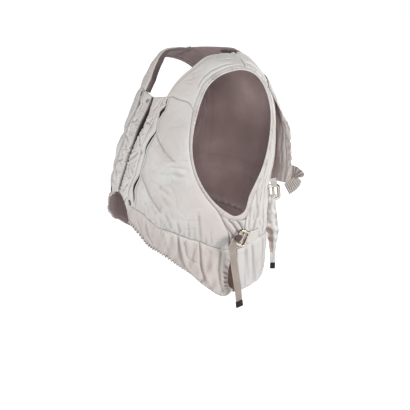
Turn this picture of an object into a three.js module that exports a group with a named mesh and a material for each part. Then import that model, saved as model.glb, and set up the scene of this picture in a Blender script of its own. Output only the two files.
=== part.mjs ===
// A cropped, padded sleeveless jacket, in millimetres, +Z up.
// The wearer faces -Y and the wearer's left is +X. The origin is the middle of
// the shoulder line, where the jacket rests on its wearer.
import * as THREE from 'three';

// ---------------------------------------------------------------- sizes (mm)
const SEAM_GAP = 0.9;        // clear line between two sewn pieces
const SEAM_EDGE = 2.4;       // thickness of a padded piece pressed flat at its seam
const CLOTH = 2.2;           // unpadded cloth with its turned layers
const PUFF_OUT = 5.5;        // how far a padded piece swells outward
const PUFF_IN = 4.5;         // how far it swells inward
const WEBBING = { width: 13, thick: 1.5 };
const TIP = { length: 14, width: 15, thick: 3.4 };
const BUCKLE = { long: 31, across: 25, rod: 3.2, bar: 3.0, thick: 3.0, corner: 7 };
const BINDING = { thick: 3.0, bead: 1.2 };
const SHOULDER = { neckX: 65, neckZ: 27, fall: 0.40, roundFront: 100, roundBack: 100, ridgeY: 4 };
const NAPE = { rise: 14, half: 45 };   // the neckline stands up at the nape

// Horizontal sections of the worn form: height, half width, depth to the front,
// depth to the back, squareness of the oval.
const TORSO = [
  { z: -460, half: 152, front: 155, back: 115, square: 2.2 },
  { z: -430, half: 153, front: 158, back: 116, square: 2.2 },
  { z: -350, half: 156, front: 166, back: 121, square: 2.2 },
  { z: -290, half: 160, front: 170, back: 126, square: 2.2 },
  { z: -238, half: 162, front: 166, back: 130, square: 2.2 },
  { z: -190, half: 161, front: 150, back: 138, square: 2.25 },
  { z: -133, half: 156, front: 126, back: 142, square: 2.3 },
  { z: -66, half: 151, front: 92, back: 134, square: 2.4 },
  { z: 0, half: 150, front: 74, back: 118, square: 2.4 },
  { z: 60, half: 150, front: 66, back: 100, square: 2.3 },
];

// Front bands, by height: half the gap at centre front, the outer edge of the
// placket, the pocket slit, and how far the slit gapes.
const FRONT_BANDS = [
  { z: -270, gap: 1.2, placket: 38.5, slit: 55.0, gape: 0.6 },
  { z: -251, gap: 1.2, placket: 38.5, slit: 55.0, gape: 0.6 },
  { z: -235, gap: 1.3, placket: 37.0, slit: 54.0, gape: 1.2 },
  { z: -215, gap: 1.4, placket: 38.0, slit: 48.0, gape: 3.4 },
  { z: -194, gap: 1.4, placket: 42.0, slit: 53.0, gape: 0.8 },
  { z: -160, gap: 1.5, placket: 38.5, slit: 50.5, gape: 0.8 },
  { z: -146, gap: 1.9, placket: 34.5, slit: 47.0, gape: 1.6 },
  { z: -133, gap: 3.0, placket: 35.5, slit: 50.5, gape: 3.4 },
  { z: -117, gap: 3.8, placket: 37.0, slit: 56.5, gape: 0.8 },
  { z: -100, gap: 3.2, placket: 37.8, slit: 50.0, gape: 1.2 },
  { z: -87, gap: 2.6, placket: 38.2, slit: 48.5, gape: 3.6 },
  { z: -74, gap: 2.2, placket: 39.5, slit: 54.5, gape: 1.2 },
  { z: -58, gap: 2.0, placket: 45.0, slit: 55.0, gape: 0.6 },
];
const PLACKET_ENDS = { topIn: -65, topOut: -59.5, bottomIn: -237, bottomOut: -267 };
const WELT_ENDS = { top: -62.5, bottom: -250 };

// Front armhole seam down to the side edge: height and angle round the body
// (0 = centre front, 90 = side, 180 = centre back).
const FRONT_SIDE = [
  { z: -327, turn: 84.8 }, { z: -297, turn: 84.2 }, { z: -270, turn: 80.0 },
  { z: -247, turn: 75.4 }, { z: -230, turn: 70.2 }, { z: -213, turn: 65.3 },
  { z: -194, turn: 60.5 }, { z: -175, turn: 56.4 }, { z: -155, turn: 53.0 },
  { z: -135, turn: 50.4 }, { z: -115, turn: 48.7 }, { z: -95, turn: 47.5 },
  { z: -73, turn: 46.3 },
];
// Waist seam and hem of the front: angle, height of seam, height of hem.
const HEM_BAND = [
  { turn: 12.3, seam: -252.0, hem: -268.0 }, { turn: 16.0, seam: -253.0, hem: -285.5 },
  { turn: 20.0, seam: -254.5, hem: -293.0 }, { turn: 26.0, seam: -258.5, hem: -306.0 },
  { turn: 32.0, seam: -267.5, hem: -320.0 }, { turn: 40.0, seam: -279.5, hem: -329.5 },
  { turn: 46.5, seam: -283.5, hem: -341.0 }, { turn: 53.0, seam: -289.5, hem: -354.0 },
  { turn: 60.0, seam: -297.5, hem: -368.5 }, { turn: 66.5, seam: -304.0, hem: -387.5 },
  { turn: 73.0, seam: -314.0, hem: -404.0 }, { turn: 78.4, seam: -320.5, hem: -417.0 },
  { turn: 83.0, seam: -325.5, hem: -422.0 }, { turn: 86.8, seam: -328.0, hem: -420.0 },
];
// Quilting lines of the front panel: angle, height along each line.
const QUILT_LINES = [
  [{ turn: 18.7, z: -118 }, { turn: 26.7, z: -134 }, { turn: 33.4, z: -147 }, { turn: 44.6, z: -162 }],
  [{ turn: 17.9, z: -191 }, { turn: 24.4, z: -205 }, { turn: 30.9, z: -224 }, { turn: 36.5, z: -250 }],
];
const QUILT_GROOVE = { depth: 0.75, half: 9 };
// Hanging folds of the front hem band: angle at the seam and at the hem, depth, half width.
const HEM_FOLDS = [
  { top: 52.5, foot: 55.0, depth: 0.55, half: 2.2 },
  { top: 66.5, foot: 70.5, depth: 0.65, half: 2.0 },
  { top: 79.5, foot: 82.0, depth: 0.50, half: 1.8 },
];
// Yoke over the shoulder: angle over the ridge (- front, + back), neck edge, arm edge.
const YOKE = [
  { over: -80.0, neck: 48.5, arm: 116.6 }, { over: -68.6, neck: 55.5, arm: 114.4 },
  { over: -56.4, neck: 66.5, arm: 113.7 }, { over: -41.7, neck: 77.0, arm: 118.6 },
  { over: -25.3, neck: 82.5, arm: 128.6 }, { over: -3.2, neck: 86.0, arm: 137.0 },
  { over: 17.0, neck: 83.0, arm: 132.6 },
];
// Front seam of the yoke: share of the way from neck to arm, angle over the ridge.
const YOKE_FRONT = [
  { share: 0, over: -82.5 }, { share: 0.1, over: -82.0 }, { share: 0.54, over: -78.2 },
  { share: 0.8, over: -75.6 }, { share: 0.93, over: -77.4 }, { share: 1, over: -80.0 },
];
// Back panel: armhole seam down to the side, and the top and bottom edges.
const BACK_SIDE = [
  { z: -324, turn: 96.0 }, { z: -305, turn: 94.6 }, { z: -285, turn: 94.4 },
  { z: -265, turn: 96.2 }, { z: -244, turn: 99.7 }, { z: -228, turn: 103.0 },
  { z: -213, turn: 107.2 }, { z: -197, turn: 111.6 }, { z: -180, turn: 115.8 },
  { z: -162, turn: 119.3 }, { z: -142, turn: 122.2 }, { z: -122, turn: 124.6 },
  { z: -100, turn: 126.2 }, { z: -79, turn: 128.0 }, { z: -59, turn: 130.2 },
  { z: -39, turn: 131.9 }, { z: -22, turn: 129.6 }, { z: -10.5, turn: 124.6 }, { z: -5.4, turn: 120.6 },
];
const BACK_TOP = [
  { turn: 120.6, z: -5.4 }, { turn: 134.6, z: 2.4 }, { turn: 150.4, z: 14.4 },
  { turn: 157.0, z: 15.6 }, { turn: 167.0, z: 16.6 }, { turn: 180, z: 17.0 },
];
const BACK_FOOT = [
  { turn: 96.0, z: -324 }, { turn: 104, z: -322 }, { turn: 112, z: -319 },
  { turn: 126, z: -323 }, { turn: 150, z: -328 }, { turn: 180, z: -330 },
];
const BACK_BAND = [
  { turn: 91.5, seam: -329.5, hem: -417 }, { turn: 104, seam: -324.0, hem: -416 },
  { turn: 112, seam: -321.2, hem: -415 }, { turn: 126, seam: -325.2, hem: -417 },
  { turn: 150, seam: -330.2, hem: -420 }, { turn: 180, seam: -332.2, hem: -421 },
];
// Armhole opening: turn round the arm axis from the top towards the front,
// reach from the axis, distance from the centre plane, width of the binding.
const ARM_AXIS = { y: 0, z: -132 };
const ARMHOLE = [
  { turn: 0, reach: 123.2, out: 144.2, width: 8.2 }, { turn: 12.5, reach: 117.0, out: 132.3, width: 7.8 },
  { turn: 23.7, reach: 105.9, out: 122.4, width: 7.4 }, { turn: 36.9, reach: 92.4, out: 121.7, width: 7.4 },
  { turn: 53.6, reach: 82.0, out: 124.4, width: 7.4 }, { turn: 72.8, reach: 77.6, out: 127.1, width: 7.4 },
  { turn: 92.1, reach: 79.0, out: 130.8, width: 7.4 }, { turn: 109.6, reach: 84.2, out: 136.7, width: 7.4 },
  { turn: 125.3, reach: 91.7, out: 144.0, width: 7.4 }, { turn: 139.7, reach: 100.4, out: 151.2, width: 7.4 },
  { turn: 153.0, reach: 110.4, out: 156.9, width: 7.4 }, { turn: 165.6, reach: 121.2, out: 160.0, width: 7.4 },
  { turn: 176.2, reach: 130.6, out: 161.2, width: 7.4 }, { turn: 184.4, reach: 124.6, out: 161.4, width: 8.0 },
  { turn: 192.0, reach: 98.4, out: 160.7, width: 9.2 }, { turn: 205.6, reach: 82.0, out: 157.9, width: 9.6 },
  { turn: 223.7, reach: 73.2, out: 153.0, width: 9.6 }, { turn: 243.9, reach: 70.1, out: 146.9, width: 9.6 },
  { turn: 264.7, reach: 72.7, out: 141.1, width: 9.6 }, { turn: 284.0, reach: 80.7, out: 136.5, width: 9.6 },
  { turn: 300.0, reach: 92.4, out: 132.5, width: 9.6 }, { turn: 313.2, reach: 104.8, out: 127.8, width: 9.6 },
  { turn: 325.0, reach: 114.7, out: 126.5, width: 9.4 }, { turn: 337.4, reach: 120.2, out: 133.6, width: 9.0 },
  { turn: 350.0, reach: 123.0, out: 142.4, width: 8.6 },
];
// Gathered piece under the arm: front edge and back edge, by share of the way down.
const UNDERARM = [
  { down: 0, front: 78.6, frontZ: -255.5, back: 94.6, backZ: -272.5 },
  { down: 0.4, front: 81.2, frontZ: -271, back: 93.6, backZ: -281 },
  { down: 0.75, front: 85.0, frontZ: -296, back: 93.0, backZ: -301 },
  { down: 1, front: 86.2, frontZ: -312, back: 93.0, backZ: -318 },
];
// The top edge of that piece follows the binding: sag below the straight line.
const UNDERARM_SAG = 5.5;

// Loose back flap: share of the drop, near edge, and the middle of the back.
const FLAP = [
  { drop: 0.00, x: 116, z: -42, y: 88.5, midZ: -26, midY: 60 },
  { drop: 0.10, x: 119, z: -56, y: 97, midZ: -45, midY: 110 },
  { drop: 0.20, x: 122, z: -70, y: 107, midZ: -62, midY: 130 },
  { drop: 0.35, x: 125, z: -92, y: 123, midZ: -86, midY: 147 },
  { drop: 0.50, x: 127, z: -114, y: 136, midZ: -110, midY: 153 },
  { drop: 0.65, x: 128, z: -138, y: 144, midZ: -137, midY: 156 },
  { drop: 0.80, x: 129, z: -164, y: 146.5, midZ: -165, midY: 158 },
  { drop: 1.00, x: 130, z: -196, y: 147, midZ: -207.5, midY: 159 },
];
const FLAP_CLEAR = 4.6;
// Ribbed band below the flap, from the middle out to its free end.
const FLAP_BAND = { height: 26, thick: 3.2 };
const FLAP_BAND_PATH = [
  { x: 0, y: 159.5, z: -222 }, { x: 45, y: 158.4, z: -221.4 }, { x: 85, y: 154.8, z: -218.6 },
  { x: 112, y: 150.6, z: -213.4 }, { x: 128, y: 147.5, z: -210.4 }, { x: 135, y: 148.5, z: -213 },
  { x: 138.6, y: 148, z: -220 }, { x: 139.4, y: 139, z: -228 }, { x: 137.2, y: 122, z: -238 },
];

// Side fastening: where the buckle sits, the tilt of its bar, and the strap's run.
const SIDE_BUCKLE = { turn: 90.9, z: -305, stand: 8.5, tilt: -28 };
const SIDE_STRAP_PATH = [
  { x: 170.6, y: -3.0, z: -306.0 }, { x: 172.4, y: -10.0, z: -300.5 }, { x: 173.4, y: -17.0, z: -300.5 },
  { x: 173.0, y: -21.0, z: -307.0 }, { x: 171.2, y: -21.2, z: -318.0 }, { x: 169.6, y: -18.0, z: -340.0 },
  { x: 168.0, y: -12.0, z: -372.0 }, { x: 166.8, y: -6.0, z: -402.0 }, { x: 165.6, y: -1.8, z: -430.5 },
];
const SIDE_STRAP_LEAD = { y: 1, z: 4 };     // how much of the strap's width turns from upright to level
const BUCKLE_TAB = { inner: 97.4, outer: 112, innerTop: -298, innerFoot: -320, outerTop: -301, outerFoot: -319, lift: 3.2 };

// Back fastening: a ring on a short tab, and a hanging cloth strap below it.
const BACK_BUCKLE = { x: 103, y: 122, z: -254, tilt: 6, facing: -28 };
const BACK_TAB_PATH = [
  { x: 106, y: 112.0, z: -222, width: 12 }, { x: 105.6, y: 118.0, z: -231, width: 12 }, { x: 105.6, y: 121.4, z: -239, width: 12 },
];
const BACK_STRAP_PATH = [
  { x: 106.2, y: 121, z: -258, width: 13 }, { x: 106.4, y: 120, z: -266, width: 15 }, { x: 105, y: 118, z: -285, width: 19 },
  { x: 104, y: 118, z: -310, width: 22 }, { x: 104, y: 119, z: -335, width: 25 }, { x: 103, y: 119, z: -360, width: 23 },
  { x: 102, y: 118, z: -382, width: 15 }, { x: 101.6, y: 118, z: -392, width: 9.5 }, { x: 101, y: 118, z: -404, width: 9 },
];
const BACK_STRAP_THICK = 2.4;
const BACK_TIP = { length: 13, width: 10.5, thick: 3.4 };

const NECK_LABEL = { width: 58, height: 14, thick: 1.2, below: 2.2, clear: 5.0 };
const SNAP = { radius: 4.2, rise: 1.6, x: -9, z: -75 };
const ZIP_TAPE = { half: 5.2, thick: 1.4, deep: 6.4 };
const FRONT_ZIP = { half: 8.5, thick: 1.4, deep: 6.8, top: -69, bottom: -232 };

// ---------------------------------------------------------------- finishes
const finish = (color, roughness, metalness = 0) => new THREE.MeshStandardMaterial({ color, roughness, metalness });
const SHELL = () => finish(0xd6d2ce, 0.72);
const THIN_CLOTH = () => finish(0xd9d5d1, 0.75);
const RIB = () => finish(0xc9c2bc, 0.85);
const TAPE = () => finish(0xaa9b96, 0.8);
const DARK_TAPE = () => finish(0x3a302e, 0.7);
const METAL = () => finish(0xd8d0c0, 0.28, 1);
const BLACK = () => finish(0x1d1c1d, 0.45);

// ---------------------------------------------------------------- small maths
const rad = Math.PI / 180;
const lerp = (a, b, t) => a + (b - a) * t;
const clamp = (v, lo, hi) => Math.min(hi, Math.max(lo, v));

// Smooth, overshoot-free curve through a table column.
function track(rows, key, value) {
  const s = [...rows].sort((a, b) => a[key] - b[key]);
  const x = s.map((r) => r[key]), y = s.map((r) => r[value]), n = x.length;
  const h = [], d = [], m = new Array(n).fill(0);
  for (let i = 0; i < n - 1; i++) { h.push(x[i + 1] - x[i]); d.push((y[i + 1] - y[i]) / h[i]); }
  for (let i = 1; i < n - 1; i++) {
    if (d[i - 1] * d[i] > 0) {
      const a = 2 * h[i] + h[i - 1], b = h[i] + 2 * h[i - 1];
      m[i] = (a + b) / (a / d[i - 1] + b / d[i]);
    }
  }
  m[0] = d[0]; m[n - 1] = d[n - 2];
  return (q) => {
    if (q <= x[0]) return y[0];
    if (q >= x[n - 1]) return y[n - 1];
    let i = 0;
    while (q > x[i + 1]) i++;
    const t = (q - x[i]) / h[i], t2 = t * t, t3 = t2 * t;
    return y[i] * (2 * t3 - 3 * t2 + 1) + h[i] * m[i] * (t3 - 2 * t2 + t) + y[i + 1] * (3 * t2 - 2 * t3) + h[i] * m[i + 1] * (t3 - t2);
  };
}

const torsoHalf = track(TORSO, 'z', 'half');
const torsoFront = track(TORSO, 'z', 'front');
const torsoBack = track(TORSO, 'z', 'back');
const torsoSquare = track(TORSO, 'z', 'square');
const ridge = (x) => SHOULDER.neckZ - SHOULDER.fall * Math.max(Math.abs(x) - SHOULDER.neckX, 0);
const ridgeBack = (x) => ridge(x) + NAPE.rise * Math.exp(-((x / NAPE.half) ** 2));

// Depth of the form at a distance x from the centre plane and a height z.
function depth(x, z, back) {
  const n = torsoSquare(z), a = torsoHalf(z);
  const c = Math.max(1 - (Math.min(Math.abs(x) / a, 1)) ** n, 0) ** (1 / n);
  const round = back ? SHOULDER.roundBack : SHOULDER.roundFront;
  const u = clamp(((back ? ridgeBack(x) : ridge(x)) - z) / round, 0, 1);
  const g = Math.sqrt(Math.max(1 - (1 - u) ** 2, 0));
  const reach = back ? torsoBack(z) * c - SHOULDER.ridgeY : torsoFront(z) * c + SHOULDER.ridgeY;
  return SHOULDER.ridgeY + (back ? 1 : -1) * reach * g;
}
// A point of the form by angle round the body and height.
function around(turn, z) {
  const s = Math.sin(turn * rad), c = Math.cos(turn * rad);
  const x = torsoHalf(z) * Math.sign(s) * Math.abs(s) ** (2 / torsoSquare(z));
  return new THREE.Vector3(x, depth(x, z, c < 0), z);
}
// The angle that has a given distance from the centre plane on the front.
const turnAt = (x, z) => Math.asin(Math.min(Math.abs(x) / torsoHalf(z), 1) ** (torsoSquare(z) / 2)) / rad * Math.sign(x);
// A point over the shoulder by distance from the centre plane and angle over the ridge.
function overShoulder(x, over) {
  const back = over > 0;
  const z = (back ? ridgeBack(x) : ridge(x)) - (back ? SHOULDER.roundBack : SHOULDER.roundFront) * (1 - Math.cos(over * rad));
  return new THREE.Vector3(x, depth(x, z, back), z);
}

// ---------------------------------------------------------------- closed solids
function solid(points, faces) {
  let volume = 0;
  for (const [a, b, c] of faces) volume += points[a].dot(new THREE.Vector3().crossVectors(points[b], points[c]));
  const flat = [], index = [];
  for (const p of points) flat.push(p.x, p.y, p.z);
  for (const [a, b, c] of faces) volume > 0 ? index.push(a, b, c) : index.push(a, c, b);
  const geometry = new THREE.BufferGeometry();
  geometry.setAttribute('position', new THREE.Float32BufferAttribute(flat, 3));
  geometry.setIndex(index);
  geometry.computeVertexNormals();
  return geometry;
}
const spacing = (count, ease = 0.5) => Array.from({ length: count + 1 }, (_, i) => lerp(i / count, (1 - Math.cos(Math.PI * i / count)) / 2, ease));

// A sheet with two faces: place(u, v) gives its middle surface, above and below
// give how far the faces lie from it.
function sheet(place, nu, nv, above, below, ease = 0.5) {
  const us = spacing(nu, ease), vs = spacing(nv, ease), grid = [];
  for (const v of vs) for (const u of us) grid.push(place(u, v));
  const at = (i, j) => j * (nu + 1) + i;
  const step = 0.004;
  const points = [];
  const normals = [];
  for (const v of vs) for (const u of us) {
    const a = place(Math.min(u + step, 1), v).sub(place(Math.max(u - step, 0), v));
    const b = place(u, Math.min(v + step, 1)).sub(place(u, Math.max(v - step, 0)));
    normals.push(a.cross(b).normalize());
  }
  const middle = grid[at(nu >> 1, nv >> 1)], facing = normals[at(nu >> 1, nv >> 1)];
  const outward = Math.sign(facing.dot(new THREE.Vector3(middle.x, middle.y - 4, Math.max(middle.z + 40, 0)))) || 1;
  vs.forEach((v, j) => us.forEach((u, i) => points.push(grid[at(i, j)].clone().addScaledVector(normals[at(i, j)], outward * above(u, v)))));
  vs.forEach((v, j) => us.forEach((u, i) => points.push(grid[at(i, j)].clone().addScaledVector(normals[at(i, j)], -outward * below(u, v)))));
  const n = (nu + 1) * (nv + 1), faces = [];
  for (let j = 0; j < nv; j++) for (let i = 0; i < nu; i++) {
    const a = at(i, j), b = at(i + 1, j), c = at(i + 1, j + 1), d = at(i, j + 1);
    faces.push([a, b, c], [a, c, d], [n + a, n + c, n + b], [n + a, n + d, n + c]);
  }
  const rim = [];
  for (let i = 0; i < nu; i++) rim.push([at(i, 0), at(i + 1, 0)]);
  for (let j = 0; j < nv; j++) rim.push([at(nu, j), at(nu, j + 1)]);
  for (let i = nu; i > 0; i--) rim.push([at(i, nv), at(i - 1, nv)]);
  for (let j = nv; j > 0; j--) rim.push([at(0, j), at(0, j - 1)]);
  for (const [a, b] of rim) faces.push([b, a, n + a], [b, n + a, n + b]);
  return solid(points, faces);
}

// A flat band along a path, with its own width direction at each point.
function ribbon(path, across, width, thick) {
  const points = [], faces = [], n = path.length;
  path.forEach((p, i) => {
    const t = path[Math.min(i + 1, n - 1)].clone().sub(path[Math.max(i - 1, 0)]).normalize();
    const w = across(i).clone().addScaledVector(t, -across(i).dot(t)).normalize();
    const up = new THREE.Vector3().crossVectors(t, w);
    const hw = width(i) / 2, ht = thick / 2;
    for (const [a, b] of [[-1, -1], [1, -1], [1, 1], [-1, 1]]) points.push(p.clone().addScaledVector(w, a * hw).addScaledVector(up, b * ht));
  });
  for (let i = 0; i < n - 1; i++) for (let k = 0; k < 4; k++) {
    const a = 4 * i + k, b = 4 * i + (k + 1) % 4;
    faces.push([a, b, b + 4], [a, b + 4, a + 4]);
  }
  const e = 4 * (n - 1);
  faces.push([0, 2, 1], [0, 3, 2], [e, e + 1, e + 2], [e, e + 2, e + 3]);
  return solid(points, faces);
}
const smoothPath = (rows, count) => new THREE.CatmullRomCurve3(rows.map((r) => new THREE.Vector3(r.x, r.y, r.z)), false, 'centripetal').getPoints(count);

// The same piece on the other side of the centre plane.
function mirrored(geometry) {
  const copy = geometry.clone(), p = copy.attributes.position, index = copy.index.array;
  for (let i = 0; i < p.count; i++) p.setX(i, -p.getX(i));
  for (let i = 0; i < index.length; i += 3) [index[i + 1], index[i + 2]] = [index[i + 2], index[i + 1]];
  copy.computeVertexNormals();
  return copy;
}

// ---------------------------------------------------------------- assembly
const jacket = new THREE.Group();
const add = (name, geometry, material) => { const mesh = new THREE.Mesh(geometry, material); mesh.name = name; jacket.add(mesh); };
function addPair(name, geometry, material) {
  const indexed = geometry.index ? geometry : indexedCopy(geometry);
  add(name + '_left', indexed, material());
  add(name + '_right', mirrored(indexed), material());
}
function indexedCopy(geometry) {
  const p = geometry.attributes.position, points = [], keys = new Map(), faces = [], ids = [];
  for (let i = 0; i < p.count; i++) {
    const key = [p.getX(i), p.getY(i), p.getZ(i)].map((v) => Math.round(v * 1e4)).join(',');
    if (!keys.has(key)) { keys.set(key, points.length); points.push(new THREE.Vector3().fromBufferAttribute(p, i)); }
    ids.push(keys.get(key));
  }
  for (let i = 0; i < ids.length; i += 3) faces.push([ids[i], ids[i + 1], ids[i + 2]]);
  return solid(points, faces);
}

// A patch of the form between four edges, each giving [angle, height].
function patch(top, foot, left, right) {
  return (u, v) => {
    const t = top(u), f = foot(u), l = left(v), r = right(v), p = [0, 0];
    const t0 = top(0), t1 = top(1), f0 = foot(0), f1 = foot(1);
    for (const k of [0, 1]) {
      p[k] = (1 - v) * t[k] + v * f[k] + (1 - u) * l[k] + u * r[k]
        - (1 - u) * (1 - v) * t0[k] - u * (1 - v) * t1[k] - (1 - u) * v * f0[k] - u * v * f1[k];
    }
    return p;
  };
}
const onForm = (map, inset = 0, insetV = inset) => (u, v) => around(...map(lerp(inset, 1 - inset, u), lerp(insetV, 1 - insetV, v)));
// Swell of a padded piece, nil at its seams.
const swell = (u, v, power = 0.36) => (16 * u * (1 - u) * v * (1 - v)) ** power;

const placketX = track(FRONT_BANDS, 'z', 'placket'), slitX = track(FRONT_BANDS, 'z', 'slit');
const gapX = track(FRONT_BANDS, 'z', 'gap'), gapeX = track(FRONT_BANDS, 'z', 'gape');
const frontSide = track(FRONT_SIDE, 'z', 'turn'), yokeFront = track(YOKE_FRONT, 'share', 'over');
// Height of the seam between yoke and front panel at a distance from the centre plane.
const yokeSeam = (x) => ridge(x) - SHOULDER.roundFront * (1 - Math.cos(yokeFront(clamp((x - YOKE[0].neck) / (YOKE[0].arm - YOKE[0].neck), 0, 1)) * rad));
const hemSeam = track(HEM_BAND, 'turn', 'seam'), hemFoot = track(HEM_BAND, 'turn', 'hem');

// Front panels, from the pocket slit to the armhole and side.
{
  const slit = (v) => { const z = lerp(-60.5, -251.5, v); const x = slitX(z) + gapeX(z) / 2; return [turnAt(x, z), z]; };
  const side = (v) => { const z = lerp(-76, -325, v); return [frontSide(z), z]; };
  const top = (u) => { const x = lerp(slitX(-60.5) + gapeX(-60.5) / 2, 115.6, u); const z = yokeSeam(x) - SEAM_GAP * 0.7; return [turnAt(x, z), z]; };
  const foot = (u) => { const t = lerp(slit(1)[0], side(1)[0], u); return [t, hemSeam(t) + SEAM_GAP / 3]; };
  const map = patch(top, foot, slit, side);
  const groove = (turn, z) => {
    let keep = 1;
    for (const line of QUILT_LINES) for (let i = 0; i < line.length - 1; i++) {
      const a = line[i], b = line[i + 1], k = 150 * rad;
      const ax = a.turn * k, bx = b.turn * k, px = turn * k;
      const t = clamp(((px - ax) * (bx - ax) + (z - a.z) * (b.z - a.z)) / ((bx - ax) ** 2 + (b.z - a.z) ** 2), 0, 1);
      const d = Math.hypot(px - lerp(ax, bx, t), z - lerp(a.z, b.z, t));
      keep = Math.min(keep, 1 - QUILT_GROOVE.depth * Math.exp(-((d / QUILT_GROOVE.half) ** 2)));
    }
    return keep;
  };
  const puff = (u, v) => swell(u, v) * groove(...map(u, v));
  addPair('front_panel', sheet(onForm(map, 0.002), 10, 15, (u, v) => PUFF_OUT * puff(u, v), (u, v) => SEAM_EDGE + PUFF_IN * puff(u, v)), SHELL);
}

// Padded hem band of the front, with its hanging folds.
{
  const first = HEM_BAND[0].turn, last = HEM_BAND[HEM_BAND.length - 1].turn;
  const map = (u, v) => { const t = lerp(first, last, u); return [t, lerp(hemSeam(t) - SEAM_GAP / 3, hemFoot(t), v)]; };
  const folded = (u, v) => {
    let keep = 1;
    const t = lerp(first, last, u);
    for (const f of HEM_FOLDS) keep = Math.min(keep, 1 - f.depth * Math.sin(Math.PI * clamp(v * 1.1, 0, 1)) * Math.exp(-(((t - lerp(f.top, f.foot, v)) / f.half) ** 2)));
    return keep;
  };
  const puff = (u, v) => swell(u, v) * folded(u, v);
  addPair('hem_panel', sheet(onForm(map, 0.003, 0), 15, 5, (u, v) => PUFF_OUT * puff(u, v), (u, v) => SEAM_EDGE + PUFF_IN * puff(u, v)), SHELL);
}

// Plackets beside the front opening.
{
  const inner = (v) => { const z = lerp(PLACKET_ENDS.topIn, PLACKET_ENDS.bottomIn, v); return [turnAt(gapX(z), z), z]; };
  const outer = (v) => { const z = lerp(PLACKET_ENDS.topOut, PLACKET_ENDS.bottomOut, v); return [turnAt(placketX(z) - SEAM_GAP / 2, z), z]; };
  const map = (u, v) => { const a = inner(v), b = outer(v); const z = lerp(a[1], b[1], u); const x = lerp(gapX(a[1]), placketX(b[1]) - SEAM_GAP / 2, u); return [turnAt(x, z), z]; };
  addPair('placket', sheet(onForm(map), 3, 14, (u, v) => 3 * swell(u, v, 0.3), (u, v) => SEAM_EDGE + 1.6 * swell(u, v, 0.3), 0.2), SHELL);
}

// Narrow pocket bands between placket and slit, and the zip tape in the slit.
{
  const map = (u, v) => {
    const z = lerp(WELT_ENDS.top, WELT_ENDS.bottom, v);
    return [turnAt(lerp(placketX(z) + SEAM_GAP / 2, slitX(z) - gapeX(z) / 2, u), z), z];
  };
  addPair('pocket_band', sheet(onForm(map), 2, 14, (u, v) => 2 * swell(u, v, 0.3), () => SEAM_EDGE, 0.1), SHELL);
  const tape = (u, v) => { const z = lerp(WELT_ENDS.top - 8, WELT_ENDS.bottom + 6, v); return [turnAt(slitX(z) + lerp(-ZIP_TAPE.half, ZIP_TAPE.half, u), z), z]; };
  addPair('pocket_zip', sheet(onForm(tape), 1, 14, () => -ZIP_TAPE.deep, () => ZIP_TAPE.deep + ZIP_TAPE.thick, 0), DARK_TAPE);
}

// Zip tape behind the front opening.
{
  const map = (u, v) => { const z = lerp(FRONT_ZIP.top, FRONT_ZIP.bottom, v); return [turnAt(lerp(-FRONT_ZIP.half, FRONT_ZIP.half, u), z), z]; };
  add('front_zip', sheet(onForm(map), 2, 10, () => -FRONT_ZIP.deep, () => FRONT_ZIP.deep + FRONT_ZIP.thick, 0), DARK_TAPE());
}

// Padded yokes over the shoulders.
{
  const neck = track(YOKE, 'over', 'neck'), arm = track(YOKE, 'over', 'arm');
  const first = YOKE[0].over, last = YOKE[YOKE.length - 1].over;
  const place = (u, v) => {
    const level = lerp(first, last, v);
    return overShoulder(lerp(neck(level), arm(level), u), lerp(yokeFront(u), last, v));
  };
  addPair('yoke', sheet(place, 6, 12, (u, v) => 4 * swell(u, v), (u, v) => SEAM_EDGE + 3.5 * swell(u, v)), SHELL);
}

// Unpadded back, from the shoulder seams to the waist.
{
  const sideTurn = track(BACK_SIDE, 'z', 'turn'), topZ = track(BACK_TOP, 'turn', 'z'), footZ = track(BACK_FOOT, 'turn', 'z');
  const half = (turn) => (turn > 180 ? 360 - turn : turn);
  const z0 = BACK_TOP[0].z, z1 = BACK_FOOT[0].z;
  const left = (v) => { const z = lerp(z0, z1, v); return [sideTurn(z), z]; };
  const right = (v) => { const [t, z] = left(v); return [360 - t, z]; };
  const top = (u) => { const t = lerp(BACK_TOP[0].turn, 360 - BACK_TOP[0].turn, u); return [t, topZ(half(t))]; };
  const foot = (u) => { const t = lerp(BACK_FOOT[0].turn, 360 - BACK_FOOT[0].turn, u); return [t, footZ(half(t))]; };
  add('back_panel', sheet(onForm(patch(top, foot, left, right)), 18, 12, () => CLOTH / 2, () => CLOTH / 2, 0), THIN_CLOTH());
}

// Padded band across the back of the waist.
{
  const seam = track(BACK_BAND, 'turn', 'seam'), hem = track(BACK_BAND, 'turn', 'hem');
  const half = (turn) => (turn > 180 ? 360 - turn : turn);
  const map = (u, v) => { const t = lerp(BACK_BAND[0].turn, 360 - BACK_BAND[0].turn, u); return [t, lerp(seam(half(t)) - 0.6, hem(half(t)), v)]; };
  add('back_waist_panel', sheet(onForm(map), 20, 5, (u, v) => PUFF_OUT * swell(u, v), (u, v) => SEAM_EDGE + PUFF_IN * swell(u, v)), SHELL());
}

// Gathered pieces under the arms.
{
  const col = (key) => track(UNDERARM, 'down', key);
  const front = col('front'), frontZ = col('frontZ'), back = col('back'), backZ = col('backZ');
  const place = (u, v) => around(lerp(front(v), back(v), u), lerp(frontZ(v), backZ(v), u) - UNDERARM_SAG * Math.sin(Math.PI * u) * (1 - v));
  addPair('underarm_panel', sheet(place, 5, 5, (u, v) => 2.2 * swell(u, v), () => SEAM_EDGE, 0.2), SHELL);
}

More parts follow.
